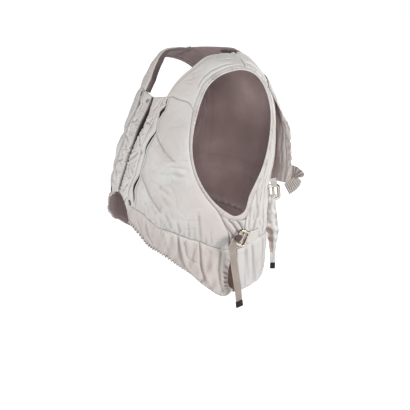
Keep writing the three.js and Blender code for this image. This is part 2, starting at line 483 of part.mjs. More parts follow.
// Bindings round the armholes.
{
  const loop = ARMHOLE.map((r) => new THREE.Vector3(r.out, ARM_AXIS.y - r.reach * Math.sin(r.turn * rad), ARM_AXIS.z + r.reach * Math.cos(r.turn * rad)));
  const curve = new THREE.CatmullRomCurve3(loop, true, 'centripetal');
  const steps = 2 * ARMHOLE.length, points = [], faces = [];
  const shape = (x, y, z) => {
    const back = y > SHOULDER.ridgeY, n = torsoSquare(z), a = torsoHalf(z);
    const c = Math.max(1 - Math.min(Math.abs(x) / a, 0.9995) ** n, 0) ** (1 / n);
    const w = Math.max(1 - (ridge(x) - z) / SHOULDER.roundFront, 0);
    const reach = back ? torsoBack(z) * c - SHOULDER.ridgeY : torsoFront(z) * c + SHOULDER.ridgeY;
    return w * w + ((y - SHOULDER.ridgeY) / Math.max(reach, 3)) ** 2;
  };
  const facing = (p) => {
    const h = 0.6, near = (x, y, z) => shape(Math.min(p.x + x, 158), p.y + y, p.z + z);
    const g = new THREE.Vector3(near(h, 0, 0) - near(-h, 0, 0), near(0, h, 0) - near(0, -h, 0), near(0, 0, h) - near(0, 0, -h)).normalize();
    return g.lerp(new THREE.Vector3(1, 0, 0), 0.25).normalize();
  };
  let out = Array.from({ length: steps }, (_, i) => facing(curve.getPoint(i / steps)));
  for (let pass = 0; pass < 6; pass++) out = out.map((n, i) => n.clone().multiplyScalar(2).add(out[(i + 1) % steps]).add(out[(i + steps - 1) % steps]).normalize());
  for (let i = 0; i < steps; i++) {
    const s = i / steps, p = curve.getPoint(s), t = curve.getTangent(s), n = out[i].clone();
    n.addScaledVector(t, -n.dot(t)).normalize();
    const side = new THREE.Vector3().crossVectors(n, t);
    if (side.dot(new THREE.Vector3(0, p.y - ARM_AXIS.y, p.z - ARM_AXIS.z)) < 0) side.negate();
    const row = s * ARMHOLE.length, k = Math.floor(row), w = lerp(ARMHOLE[k].width, ARMHOLE[(k + 1) % ARMHOLE.length].width, row - k);
    const up = BINDING.bead, down = BINDING.thick - BINDING.bead;
    for (const [a, b] of [[0, up * 0.4], [w * 0.5, up], [w, up * 0.2], [w, -down], [0, -down]]) points.push(p.clone().addScaledVector(side, a).addScaledVector(n, b));
  }
  for (let i = 0; i < steps; i++) for (let k = 0; k < 5; k++) {
    const j = (i + 1) % steps, a = 5 * i + k, b = 5 * i + (k + 1) % 5, c = 5 * j + (k + 1) % 5, d = 5 * j + k;
    faces.push([a, b, c], [a, c, d]);
  }
  addPair('armhole_binding', solid(points, faces), SHELL);
}

// Loose flap over the back and its ribbed band.
{
  const col = (key) => track(FLAP, 'drop', key);
  const ex = col('x'), ez = col('z'), ey = col('y'), mz = col('midZ'), my = col('midY');
  const place = (u, v) => {
    const s = 2 * u - 1, x = s * ex(v), z = lerp(mz(v), ez(v), s * s);
    return new THREE.Vector3(x, Math.max(lerp(my(v), ey(v), Math.abs(s) ** 2.2), depth(x, z, true) + FLAP_CLEAR), z);
  };
  add('back_flap', sheet(place, 14, 8, () => CLOTH / 2, () => CLOTH / 2, 0), THIN_CLOTH());
  const rows = [...FLAP_BAND_PATH.slice(1).reverse().map((r) => ({ ...r, x: -r.x })), ...FLAP_BAND_PATH];
  const path = smoothPath(rows, 36);
  add('flap_band', ribbon(path, () => new THREE.Vector3(0, 0, 1), () => FLAP_BAND.height, FLAP_BAND.thick), RIB());
}

// A ring buckle with a middle bar: two slots in a rounded plate.
function buckle() {
  const { long, across, rod, bar, thick, corner } = BUCKLE;
  const rounded = (path, x0, y0, x1, y1, r) => {
    path.moveTo(x0 + r, y0); path.lineTo(x1 - r, y0); path.absarc(x1 - r, y0 + r, r, -Math.PI / 2, 0, false);
    path.lineTo(x1, y1 - r); path.absarc(x1 - r, y1 - r, r, 0, Math.PI / 2, false);
    path.lineTo(x0 + r, y1); path.absarc(x0 + r, y1 - r, r, Math.PI / 2, Math.PI, false);
    path.lineTo(x0, y0 + r); path.absarc(x0 + r, y0 + r, r, Math.PI, 1.5 * Math.PI, false);
    return path;
  };
  const plate = rounded(new THREE.Shape(), -across / 2, -long / 2, across / 2, long / 2, corner);
  for (const s of [-1, 1]) {
    const a = bar / 2, b = across / 2 - rod, hole = new THREE.Path();
    rounded(hole, s > 0 ? a : -b, -long / 2 + rod, s > 0 ? b : -a, long / 2 - rod, 2.6);
    plate.holes.push(hole);
  }
  const geometry = new THREE.ExtrudeGeometry(plate, { depth: thick, bevelEnabled: false, curveSegments: 2 });
  return geometry.translate(0, 0, -thick / 2);
}
const placed = (geometry, origin, xAxis, yAxis) => {
  const x = xAxis.clone().normalize(), y = yAxis.clone().addScaledVector(x, -yAxis.dot(x)).normalize();
  const m = new THREE.Matrix4().makeBasis(x, y, new THREE.Vector3().crossVectors(x, y)).setPosition(origin);
  return geometry.applyMatrix4(m);
};
const tipBlock = ({ length, width, thick }) => {
  const r = 1.4, w = width / 2, l = length, s = new THREE.Shape();
  s.moveTo(-w, 0); s.lineTo(w, 0); s.lineTo(w, l - r); s.absarc(w - r, l - r, r, 0, Math.PI / 2, false);
  s.lineTo(-w + r, l); s.absarc(-w + r, l - r, r, Math.PI / 2, Math.PI, false); s.lineTo(-w, 0);
  return new THREE.ExtrudeGeometry(s, { depth: thick, bevelEnabled: false, curveSegments: 3 }).translate(0, 0, -thick / 2);
};

// Side fastenings.
{
  const seat = around(SIDE_BUCKLE.turn, SIDE_BUCKLE.z), out = new THREE.Vector3(1, 0.06, 0).normalize();
  const back = new THREE.Vector3(-0.06, 1, 0).normalize(), upward = new THREE.Vector3(0, 0, 1);
  const bar = upward.clone().applyAxisAngle(out, SIDE_BUCKLE.tilt * rad), along = back.clone().applyAxisAngle(out, SIDE_BUCKLE.tilt * rad);
  addPair('side_buckle', placed(buckle(), seat.clone().addScaledVector(out, SIDE_BUCKLE.stand), along, bar), METAL);
  const path = smoothPath(SIDE_STRAP_PATH, 22).map((p) => p.setX(p.x + 2.2)), n = path.length;
  const level = new THREE.Vector3(0, 1, 0.1);
  const across = (i) => bar.clone().lerp(level, clamp((i / n - 0.12) / 0.28, 0, 1));
  addPair('side_strap', ribbon(path, across, () => WEBBING.width, WEBBING.thick), TAPE);
  const end = path[n - 1], run = end.clone().sub(path[n - 2]).normalize();
  addPair('side_strap_tip', placed(tipBlock(TIP), end.clone().addScaledVector(run, 0.4), level, run), BLACK);
  const t = BUCKLE_TAB;
  const tab = (u, v) => around(lerp(t.inner, t.outer, u), lerp(lerp(t.innerTop, t.outerTop, u), lerp(t.innerFoot, t.outerFoot, u), v));
  addPair('buckle_tab', sheet(tab, 4, 3, () => t.lift + CLOTH, () => -t.lift, 0), THIN_CLOTH);
}

// Back fastenings.
{
  const centre = new THREE.Vector3(BACK_BUCKLE.x, BACK_BUCKLE.y, BACK_BUCKLE.z);
  const turn = BACK_BUCKLE.facing * rad, out = new THREE.Vector3(Math.cos(turn), Math.sin(turn), 0);
  const along = new THREE.Vector3(0, 0, 1).applyAxisAngle(out, BACK_BUCKLE.tilt * rad), bar = new THREE.Vector3().crossVectors(out, along);
  addPair('back_buckle', placed(buckle(), centre, bar, along), METAL);
  const level = new THREE.Vector3(0.47, 0.88, 0);
  const wide = (rows, count) => { const w = track(rows.map((r, i) => ({ i: i / (rows.length - 1), w: r.width })), 'i', 'w'); return (i) => w(i / count); };
  addPair('back_tab', ribbon(smoothPath(BACK_TAB_PATH, 6).map((p) => p.add(new THREE.Vector3(2, 0, 0))), () => level, wide(BACK_TAB_PATH, 6), 1.8), THIN_CLOTH);
  const path = smoothPath(BACK_STRAP_PATH, 18).map((p) => p.add(new THREE.Vector3(1.5, 0, 0)));
  addPair('back_strap', ribbon(path, () => level, wide(BACK_STRAP_PATH, 18), BACK_STRAP_THICK), THIN_CLOTH);
  const end = path[path.length - 1];
  addPair('back_strap_tip', placed(tipBlock(BACK_TIP), end.clone().add(new THREE.Vector3(0, 0, -0.4)), level, new THREE.Vector3(0, 0, -1)), BLACK);
}

// Plain label inside the nape.
{
  const { width, height, thick, below, clear } = NECK_LABEL;
  const place = (u, v) => {
    const x = lerp(-width / 2, width / 2, u), z = 17 - below - height * v;
    return new THREE.Vector3(x, depth(x, z, true), z);
  };
  add('neck_label', sheet(place, 6, 2, () => -clear, () => clear + thick, 0), DARK_TAPE());
}

// Snap at the top of the right placket.
{
  const seat = new THREE.Vector3(SNAP.x, depth(SNAP.x, SNAP.z, false), SNAP.z);
  const { radius, rise } = SNAP;
  const profile = [[0, 0], [radius, 0], [radius, rise * 0.5], [radius * 0.7, rise], [0, rise]].map(([r, h]) => new THREE.Vector2(r, h));
  const out = new THREE.Vector3(-0.05, -0.9, 0.44).normalize();
  const dome = indexedCopy(new THREE.LatheGeometry(profile, 12).toNonIndexed());
  dome.applyQuaternion(new THREE.Quaternion().setFromUnitVectors(new THREE.Vector3(0, 1, 0), out));
  dome.translate(...seat.addScaledVector(out, 3.6).toArray());
  add('placket_snap', dome, METAL());
}

export default jacket;
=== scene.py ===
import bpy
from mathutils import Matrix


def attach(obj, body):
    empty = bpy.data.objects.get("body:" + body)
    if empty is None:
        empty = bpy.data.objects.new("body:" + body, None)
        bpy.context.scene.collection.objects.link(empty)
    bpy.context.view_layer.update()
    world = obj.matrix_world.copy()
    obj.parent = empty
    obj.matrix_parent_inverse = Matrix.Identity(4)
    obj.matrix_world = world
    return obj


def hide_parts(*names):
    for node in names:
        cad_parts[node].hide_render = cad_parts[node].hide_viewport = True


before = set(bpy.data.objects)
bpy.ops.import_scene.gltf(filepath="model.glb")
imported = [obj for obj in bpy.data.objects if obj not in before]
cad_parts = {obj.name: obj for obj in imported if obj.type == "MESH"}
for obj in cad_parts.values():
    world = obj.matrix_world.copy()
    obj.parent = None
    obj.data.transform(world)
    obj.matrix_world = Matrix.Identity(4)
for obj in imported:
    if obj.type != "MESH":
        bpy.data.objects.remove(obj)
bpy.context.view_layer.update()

import math

import bpy
import numpy as np
from mathutils import Matrix, Vector

# A cropped, padded sleeveless jacket. Lengths in this file are in millimetres and
# become metres when a mesh is made. The wearer faces -Y, the wearer's left is +X,
# and z = 0 is the shoulder line.
MM = 0.001
STEPS = 420

# ------------------------------------------------------------------ form tables
SHOULDER = dict(neck_x=65.0, neck_z=27.0, fall=0.40, round=100.0, ridge_y=4.0)
NAPE = dict(rise=14.0, half=45.0)
# height, half width, depth to the front, depth to the back, squareness
TORSO = [
    (-460, 152, 155, 115, 2.2), (-430, 153, 158, 116, 2.2), (-350, 156, 166, 121, 2.2),
    (-290, 160, 170, 126, 2.2), (-238, 162, 166, 130, 2.2), (-190, 161, 150, 138, 2.25),
    (-133, 156, 126, 142, 2.3), (-66, 151, 92, 134, 2.4), (0, 150, 74, 118, 2.4), (60, 150, 66, 100, 2.3),
]
# height, half gap at centre front, outer edge of the placket, pocket slit, how far the slit gapes
FRONT_BANDS = [
    (-270, 1.2, 38.5, 55.0, 0.6), (-251, 1.2, 38.5, 55.0, 0.6), (-235, 1.3, 37.0, 54.0, 1.2),
    (-215, 1.4, 38.0, 48.0, 3.4), (-194, 1.4, 42.0, 53.0, 0.8), (-160, 1.5, 38.5, 50.5, 0.8),
    (-146, 1.9, 34.5, 47.0, 1.6), (-133, 3.0, 35.5, 50.5, 3.4), (-117, 3.8, 37.0, 56.5, 0.8),
    (-100, 3.2, 37.8, 50.0, 1.2), (-87, 2.6, 38.2, 48.5, 3.6), (-74, 2.2, 39.5, 54.5, 1.2),
    (-58, 2.0, 45.0, 55.0, 0.6),
]
# height, how far the pocket slit hangs open to each side
POCKET_GAPE = [
    (-252, 0.6), (-242, 2.2), (-229, 3.8), (-213, 4.6), (-200, 3.2), (-190, 1.7), (-176, 1.6), (-165, 1.7), (-153, 2.6),
    (-141, 4.2), (-130, 4.8), (-120, 3.0), (-112, 1.5), (-104, 1.4), (-98, 2.2), (-91, 5.2), (-84, 7.8), (-77, 4.0), (-70, 1.3), (-58, 0.6),
]
# height, how much wider the front opening hangs
OPEN_FRONT = [(-270, 0.0), (-245, 0.3), (-228, 2.4), (-200, 3.0), (-165, 3.2), (-150, 4.0), (-138, 6.0), (-118, 8.4), (-100, 7.4), (-84, 4.0), (-58, 2.6)]
PLACKET_ENDS = dict(top_in=-65.0, top_out=-59.5, bottom_in=-237.0, bottom_out=-267.0)
WELT_ENDS = dict(top=-59.2, bottom=-253.0)
# height, angle round the body (0 = centre front, 90 = side, 180 = centre back)
FRONT_SIDE = [
    (-327, 84.8), (-297, 84.3), (-270, 80.8), (-247, 76.8), (-230, 72.0), (-213, 67.3), (-194, 62.6),
    (-175, 58.7), (-155, 55.3), (-135, 52.7), (-115, 50.7), (-95, 48.8), (-73, 46.4),
]
# angle, height of the waist seam, height of the hem
HEM_BAND = [
    (12.3, -252.0, -268.0), (16.0, -253.0, -285.5), (20.0, -254.5, -293.0), (26.0, -258.5, -306.0),
    (32.0, -267.5, -320.0), (40.0, -279.5, -329.5), (46.5, -283.5, -341.0), (53.0, -289.5, -354.0),
    (60.0, -297.5, -368.5), (66.5, -304.0, -387.5), (73.0, -314.0, -404.0), (78.4, -320.5, -417.0),
    (83.0, -325.5, -422.0), (86.8, -328.0, -420.0),
]
QUILT_LINES = [
    [(18.7, -118), (26.7, -134), (33.4, -147), (44.6, -162)],
    [(18.4, -192), (26.6, -211), (33.6, -231.5), (39.2, -246), (41.6, -252)],
]
# angle at the seam and at the hem, depth, half width
HEM_FOLDS = [(52.3, 57.4, 1.0, 2.2), (66.0, 71.2, 0.9, 1.9), (79.5, 82.0, 0.55, 1.8)]
# soft creases as lines of angle and height, with their depth and half width
FRONT_FOLDS = [
    ([(37.2, -176), (42.0, -169), (48.2, -168.5), (54.5, -173)], 0.75, 3.2),
    ([(34.2, -184), (41.8, -180), (49.2, -182), (56.5, -184.5)], 0.6, 3.6),
    ([(36.5, -204), (41.0, -210), (46.0, -219)], 0.9, 3.0), ([(40.8, -222), (47.8, -240)], 0.7, 3.2),
    ([(64.5, -246), (66.0, -273), (67.0, -301)], 1.4, 2.4), ([(33.5, -243), (40.0, -259), (43.0, -272)], 1.0, 2.6),
    ([(43.2, -248), (47.0, -266), (49.2, -282)], 1.0, 2.6), ([(52.2, -265), (54.5, -287)], 0.9, 2.4),
    ([(58.5, -262), (60.2, -294)], 0.8, 2.4), ([(72.5, -280), (74.0, -312)], 0.9, 2.4), ([(39.8, -125), (50.0, -156)], 0.5, 4.0),
    ([(27.0, -160), (33.0, -172), (39.0, -190)], 0.5, 4.0), ([(26.0, -230), (31.0, -244), (33.0, -258)], 0.7, 2.4),
]
HEM_SOFT = [
    ([(23.5, -272), (27.0, -295.5), (29.8, -314)], 1.8, 2.0), ([(30.0, -272), (32.8, -298.5), (37.0, -316)], 2.0, 2.2), ([(41.0, -284), (44.5, -306), (47.5, -328)], 0.8, 2.4),
    ([(57.0, -299), (59.5, -324), (61.0, -348)], 1.0, 2.4), ([(72.5, -318), (74.0, -352), (76.0, -392)], 0.8, 2.6),
]
NEAR_PLACKET_FOLDS = [
    ([(10.5, -64), (8.0, -80), (4.5, -92)], 1.6, 2.0), ([(10.0, -96), (6.0, -110), (5.0, -124)], 1.4, 2.0), ([(4.0, -128), (7.5, -142), (10.0, -150)], 1.6, 2.2),
    ([(9.5, -158), (6.0, -170), (3.0, -178)], 1.5, 2.2), ([(4.0, -186), (8.5, -200), (11.0, -206)], 1.6, 2.2), ([(10.0, -212), (7.0, -226), (4.0, -234)], 1.6, 2.0),
    ([(11.0, -236), (9.0, -246), (7.0, -250)], 1.8, 2.0),
]
FAR_PLACKET_FOLDS = [
    ([(16.0, -125), (12.5, -136), (7.5, -143), (2.0, -152)], 2.6, 2.4), ([(11.5, -188), (8.0, -199), (5.0, -212), (3.0, -226)], 2.4, 2.4),
    ([(11.0, -66), (7.0, -84), (8.5, -100)], 2.2, 2.2), ([(3.5, -100), (6.5, -112), (10.5, -120)], 2.2, 2.2), ([(10.0, -152), (6.5, -164), (3.5, -178)], 2.2, 2.4),
    ([(4.0, -180), (7.0, -186), (10.0, -186)], 1.8, 2.0),
]
BACK_FOLDS = [
    ([(97.6, -236), (99.6, -260), (99.3, -284), (98.0, -300)], 4.0, 3.0), ([(104, -206), (107.2, -242), (111, -283), (116, -312)], 3.6, 3.2),
    ([(116, -214), (112.5, -250), (106.8, -285), (103.0, -312)], 3.6, 3.2), ([(122, -190), (120, -232), (119, -262), (122, -306)], 3.0, 3.6),
    ([(132, -250), (130, -280), (127, -316)], 3.0, 4.0),
]
FAN_LINES = [
    [(76.2, -243.5), (78.2, -253.5), (82.4, -278.5), (86.6, -299), (88, -318)], [(78.8, -248), (80.6, -254.5), (86.4, -277.5), (90.0, -296)],
    [(81.5, -258.5), (88.8, -272.5), (92.4, -293)],
]
# angle over the ridge (- front, + back), neck edge, arm edge
YOKE = [
    (-80.0, 48.5, 116.6), (-68.6, 55.5, 114.4), (-56.4, 66.5, 113.7), (-41.7, 77.0, 118.6),
    (-25.3, 82.5, 128.6), (-3.2, 86.0, 137.0), (17.0, 83.0, 132.6),
]
YOKE_FRONT = [(0, -82.5), (0.1, -82.0), (0.54, -78.2), (0.8, -75.6), (0.93, -77.4), (1, -80.0)]
BACK_SIDE = [
    (-324, 96.0), (-305, 94.6), (-285, 94.4), (-265, 96.2), (-244, 99.7), (-228, 103.0), (-213, 107.2),
    (-197, 111.6), (-180, 115.8), (-162, 119.3), (-142, 122.2), (-122, 124.6), (-100, 126.2), (-79, 128.0),
    (-59, 130.2), (-39, 131.9), (-22, 129.6), (-10.5, 124.6), (-5.4, 120.6),
]
BACK_TOP = [(120.6, -5.4), (134.6, 2.4), (150.4, 14.4), (157.0, 15.6), (167.0, 16.6), (180, 17.0)]
BACK_FOOT = [(96.0, -324), (104, -322), (112, -319), (126, -323), (150, -328), (180, -330)]
BACK_BAND = [
    (88.8, -330.5, -417), (104, -324.0, -416), (112, -321.2, -415), (126, -325.2, -417),
    (150, -330.2, -420), (180, -332.2, -421),
]
# turn round the arm axis from the top towards the front, reach, distance from the centre plane, width
ARM_AXIS = (0.0, -132.0)
ARMHOLE = [
    (0, 123.2, 144.2, 8.2), (12.5, 117.0, 132.3, 7.8), (23.7, 105.9, 122.4, 7.4), (36.9, 92.4, 121.7, 7.4),
    (53.6, 82.0, 124.4, 7.4), (72.8, 77.6, 127.1, 7.4), (92.1, 79.0, 130.8, 7.4), (109.6, 84.2, 136.7, 7.4),
    (125.3, 91.7, 144.0, 7.4), (139.7, 100.4, 151.2, 7.4), (153.0, 110.4, 156.9, 7.4), (165.6, 121.2, 160.0, 7.4),
    (176.2, 130.6, 161.2, 7.4), (184.4, 124.6, 161.4, 8.0), (192.0, 98.4, 160.7, 9.2), (205.6, 82.0, 157.9, 9.6),
    (223.7, 73.2, 153.0, 9.6), (243.9, 70.1, 146.9, 9.6), (264.7, 72.7, 141.1, 9.6), (284.0, 80.7, 136.5, 9.6),
    (300.0, 92.4, 132.5, 9.6), (313.2, 104.8, 127.8, 9.6), (325.0, 114.7, 126.5, 9.4), (337.4, 120.2, 133.6, 9.0),
    (350.0, 123.0, 142.4, 8.6),
]
# share of the way down, front edge, its height, back edge, its height
UNDERARM = [
    (0, 78.6, -255.5, 94.6, -272.5), (0.4, 81.2, -271, 93.6, -281),
    (0.62, 84.8, -296, 93.0, -301), (0.80, 86.0, -312, 93.0, -318), (1, 82.6, -335, 93.6, -335),
]
UNDERARM_SAG = 5.5
# share of the drop, near edge x z y, middle z y
FLAP = [
    (0.00, 116, -42, 60, -26, 60), (0.10, 119, -56, 99, -45, 110), (0.20, 122, -70, 112, -62, 130),
    (0.35, 125, -92, 127, -86, 147), (0.50, 127, -114, 138, -110, 153), (0.65, 128, -138, 146, -137, 156),
    (0.80, 129, -164, 149, -165, 158), (1.00, 130, -212, 152, -213, 159),
]
FLAP_CLEAR = 4.6
# the same for the flap's whole cloth, which runs down inside its ribbed band
FLAP_CLOTH = [
    (0.00, 116, -42, 88.5, -26, 60), (0.09, 119, -56, 95, -45, 110), (0.18, 122, -70, 101.5, -62, 130),
    (0.32, 125, -92, 113.5, -86, 145), (0.45, 127, -114, 123, -110, 149), (0.59, 128, -138, 132.5, -137, 150),
    (0.73, 129, -164, 137, -165, 150), (0.87, 130, -192, 138, -198, 150), (1.00, 130, -229, 133, -246, 149.5),
]
FLAP_BAND = dict(height=26.0, thick=3.2)
FLAP_BAND_PATH = [
    (0, 154.5, -234), (45, 153.5, -232), (85, 149.4, -225), (112, 146.0, -215), (128, 142.5, -209.5),
    (135, 144.0, -211), (138.5, 146.0, -219), (139.4, 138, -228), (137.2, 121, -238),
]
SIDE_BUCKLE = dict(turn=90.9, z=-305.0, stand=8.5, tilt=-28.0)
SIDE_STRAP_PATH = [
    (170.6, -3.0, -306.0), (172.4, -10.0, -300.5), (173.4, -17.0, -300.5), (173.0, -21.0, -307.0), (171.2, -21.2, -318.0),
    (169.6, -18.0, -340.0), (168.0, -12.0, -372.0), (166.8, -6.0, -402.0), (165.6, -1.8, -430.5),
]
BUCKLE_TAB = dict(inner=97.4, outer=112.0, inner_top=-298.0, inner_foot=-320.0, outer_top=-301.0, outer_foot=-319.0, lift=3.2)
BACK_BUCKLE = dict(at=(105.0, 113.5, -252.0), tilt=6.0, facing=-28.0)
BACK_TAB_PATH = [(106, 108.4, -222, 12), (106.2, 110.8, -231, 12), (106.2, 112.6, -238, 12)]
BACK_STRAP_PATH = [
    (106.0, 112.0, -256, 13), (105.0, 110.0, -266, 16), (104.2, 109.5, -285, 23), (104.2, 111.0, -305, 25), (104.0, 114.5, -333, 26),
    (103.6, 116.5, -360, 22), (103, 118, -385, 14), (102, 119, -396, 9.5), (102, 119.5, -405, 9),
]
BUCKLE = dict(long=31.0, across=25.0, rod=3.2, bar=3.0, corner=7.0)
WEBBING = dict(width=14.5, thick=1.5)
TIP = dict(length=14.0, width=15.0, thick=3.4)
BACK_TIP = dict(length=13.0, width=10.5, thick=3.4)
NECK_LABEL = dict(width=58.0, height=14.0, thick=1.2, below=2.2, clear=5.0)
SNAP = dict(radius=4.2, rise=1.6, x=-9.0, z=-75.0)
ZIP_TAPE = dict(half=10.5, thick=1.4, deep=3.6)
FRONT_ZIP = dict(half=12.5, thick=1.4, deep=3.3, top=-65.4, bottom=-232.0)


# ------------------------------------------------------------------ small maths
def lerp(a, b, t):
    return a + (b - a) * t


def unit(v):
    return v / np.maximum(np.linalg.norm(v, axis=-1, keepdims=True), 1e-9)


def dot(a, b):
    return (a * b).sum(-1)


def track(rows, key, value):
    """Smooth, overshoot-free curve through two columns of a table."""
    rows = sorted(rows, key=lambda r: r[key])
    x, y = np.array([r[key] for r in rows], float), np.array([r[value] for r in rows], float)
    h = np.diff(x)
    d, n = np.diff(y) / h, len(x)
    m = np.zeros(n)
    for i in range(1, n - 1):
        if d[i - 1] * d[i] > 0:
            a, b = 2 * h[i] + h[i - 1], h[i] + 2 * h[i - 1]
            m[i] = (a + b) / (a / d[i - 1] + b / d[i])
    m[0], m[-1] = d[0], d[-1]

    def at(q):
        q = np.clip(np.asarray(q, float), x[0], x[-1])
        i = np.clip(np.searchsorted(x, q, side="right") - 1, 0, n - 2)
        t = (q - x[i]) / h[i]
        t2, t3 = t * t, t * t * t
        return (y[i] * (2 * t3 - 3 * t2 + 1) + h[i] * m[i] * (t3 - 2 * t2 + t)
                + y[i + 1] * (3 * t2 - 2 * t3) + h[i] * m[i + 1] * (t3 - t2))

    return at


def smooth_path(points, count, closed=False):
    """Centripetal curve through points: count steps, closed or open."""
    p = np.array(points, float)
    n = len(p)
    t = np.arange(count if closed else count + 1) / count
    s = t * (n if closed else n - 1)
    i = np.floor(s).astype(int)
    if not closed:
        i = np.minimum(i, n - 2)
        q = np.vstack([2 * p[0] - p[1], p, 2 * p[-1] - p[-2]])
        p0, p1, p2, p3 = q[i], q[i + 1], q[i + 2], q[i + 3]
    else:
        p0, p1, p2, p3 = p[(i - 1) % n], p[i % n], p[(i + 1) % n], p[(i + 2) % n]
    w = (s - i)[:, None]
    d = [np.maximum(np.linalg.norm(b - a, axis=1), 1e-6)[:, None] ** 0.5 for a, b in ((p0, p1), (p1, p2), (p2, p3))]
    m1 = ((p1 - p0) / d[0] - (p2 - p0) / (d[0] + d[1]) + (p2 - p1) / d[1]) * d[1]
    m2 = ((p2 - p1) / d[1] - (p3 - p1) / (d[1] + d[2]) + (p3 - p2) / d[2]) * d[1]
    return (p1 + m1 * w + (-3 * p1 + 3 * p2 - 2 * m1 - m2) * w ** 2 + (2 * p1 - 2 * p2 + m1 + m2) * w ** 3)


def even_path(path, count, closed=False):
    """The same path with points at equal distances."""
    q = np.vstack([path, path[:1]]) if closed else path
    s = np.concatenate([[0], np.cumsum(np.linalg.norm(np.diff(q, axis=0), axis=1))])
    t = np.linspace(0, s[-1], count + 1)
    if closed:
        t = t[:-1]
    return np.stack([np.interp(t, s, q[:, k]) for k in range(3)], 1)


def mottle(s, t, along, across=None, turn=0.0, seed=0, count=40):
    """Smooth noise of unit strength over a cloth, s and t in mm; along and across are its sizes."""
    r = np.random.RandomState(seed)
    across = along if across is None else across
    ka, kc, ph = r.normal(0, 1 / along, count), r.normal(0, 1 / across, count), r.uniform(0, 2 * math.pi, count)
    c, d = math.cos(math.radians(turn)), math.sin(math.radians(turn))
    a, b = s * c + t * d, t * c - s * d
    return sum(np.cos(ka[k] * a + kc[k] * b + ph[k]) for k in range(count)) * math.sqrt(2 / count)


def ripple(s, t, length, along, turn=0.0, spread=0.25, seed=0, count=16):
    """Waves of a given length that run along a direction turned from s, each about `along` mm long."""
    r = np.random.RandomState(seed)
    kc = 2 * math.pi / length * (1 + spread * r.normal(0, 1, count))
    ka, ph = r.normal(0, 1 / along, count), r.uniform(0, 2 * math.pi, count)
    c, d = math.cos(math.radians(turn)), math.sin(math.radians(turn))
    a, b = s * c + t * d, t * c - s * d
    return sum(np.cos(ka[k] * a + kc[k] * b + ph[k]) for k in range(count)) * math.sqrt(2 / count)


def crumple(s, t, size, stretch=1.0, turn=0.0, seed=0, sharp=0.2):
    """Height of a network of small creases: about 0 on smooth cloth and down to -1 along a crease."""
    h = np.zeros(np.shape(s))
    for k in range(3):
        m = mottle(s, t, size * stretch, size, turn + (k - 1) * 32, seed + 7 * k)
        fades = np.clip(0.25 + 0.7 * mottle(s, t, size * 1.9, size * 1.9, 0, seed + 7 * k + 3), 0, 1)
        h = h - np.exp(-((m / sharp) ** 2)) * fades
    return h


def soften(a, passes):
    for _ in range(passes):
        b = a.copy()
        b[1:-1] = (a[:-2] + 2 * a[1:-1] + a[2:]) / 4
        a = b.copy()
        a[:, 1:-1] = (b[:, :-2] + 2 * b[:, 1:-1] + b[:, 2:]) / 4
    return a


# ------------------------------------------------------------------ the worn form
torso_half, torso_front = track(TORSO, 0, 1), track(TORSO, 0, 2)
torso_back, torso_square = track(TORSO, 0, 3), track(TORSO, 0, 4)


def ridge(x):
    return SHOULDER["neck_z"] - SHOULDER["fall"] * np.maximum(np.abs(x) - SHOULDER["neck_x"], 0)


def ridge_back(x):
    return ridge(x) + NAPE["rise"] * np.exp(-((x / NAPE["half"]) ** 2))


def depth(x, z, back):
    """Depth of the form at a distance x from the centre plane and a height z."""
    n, a = torso_square(z), torso_half(z)
    c = np.maximum(1 - np.minimum(np.abs(x) / a, 1) ** n, 0) ** (1 / n)
    u = np.clip((np.where(back, ridge_back(x), ridge(x)) - z) / SHOULDER["round"], 0, 1)
    g = np.sqrt(np.maximum(1 - (1 - u) ** 2, 0))
    y = SHOULDER["ridge_y"]
    return y + np.where(back, (torso_back(z) * c - y) * g, -(torso_front(z) * c + y) * g)


def around(turn, z):
    s, c = np.sin(np.radians(turn)), np.cos(np.radians(turn))
    x = torso_half(z) * np.sign(s) * np.abs(s) ** (2 / torso_square(z))
    return np.stack([x, depth(x, z, c < 0), np.broadcast_to(z, x.shape)], -1)


def turn_at(x, z):
    return np.degrees(np.arcsin(np.minimum(np.abs(x) / torso_half(z), 1) ** (torso_square(z) / 2))) * np.sign(x)


def over_shoulder(x, over):
    back = over > 0
    z = np.where(back, ridge_back(x), ridge(x)) - SHOULDER["round"] * (1 - np.cos(np.radians(over)))
    return np.stack([x, depth(x, z, back), z], -1)


gap_x, placket_x = track(FRONT_BANDS, 0, 1), track(FRONT_BANDS, 0, 2)
open_front = track(OPEN_FRONT, 0, 1)
slit_x, gape_x = track(FRONT_BANDS, 0, 3), track(POCKET_GAPE, 0, 1)
front_side, yoke_front = track(FRONT_SIDE, 0, 1), track(YOKE_FRONT, 0, 1)
hem_seam, hem_foot = track(HEM_BAND, 0, 1), track(HEM_BAND, 0, 2)


def yoke_seam(x):
    share = np.clip((x - YOKE[0][1]) / (YOKE[0][2] - YOKE[0][1]), 0, 1)
    return ridge(x) - SHOULDER["round"] * (1 - np.cos(np.radians(yoke_front(share))))


def patch(top, foot, left, right):
    """A patch between four edges, each giving angle and height; it meets top and foot exactly."""
    def at(u, v):
        t, f, l, r = top(u), foot(u), left(v), right(v)
        o = np.zeros_like(u)
        l0, l1, r0, r1 = left(o), left(o + 1), right(o), right(o + 1)
        return tuple((1 - v) * t[k] + v * f[k] + (1 - u) * (l[k] - (1 - v) * l0[k] - v * l1[k])
                     + u * (r[k] - (1 - v) * r0[k] - v * r1[k]) for k in (0, 1))
    return at


def swell(u, v, power=0.36):
    return np.maximum(16 * u * (1 - u) * v * (1 - v), 0) ** power


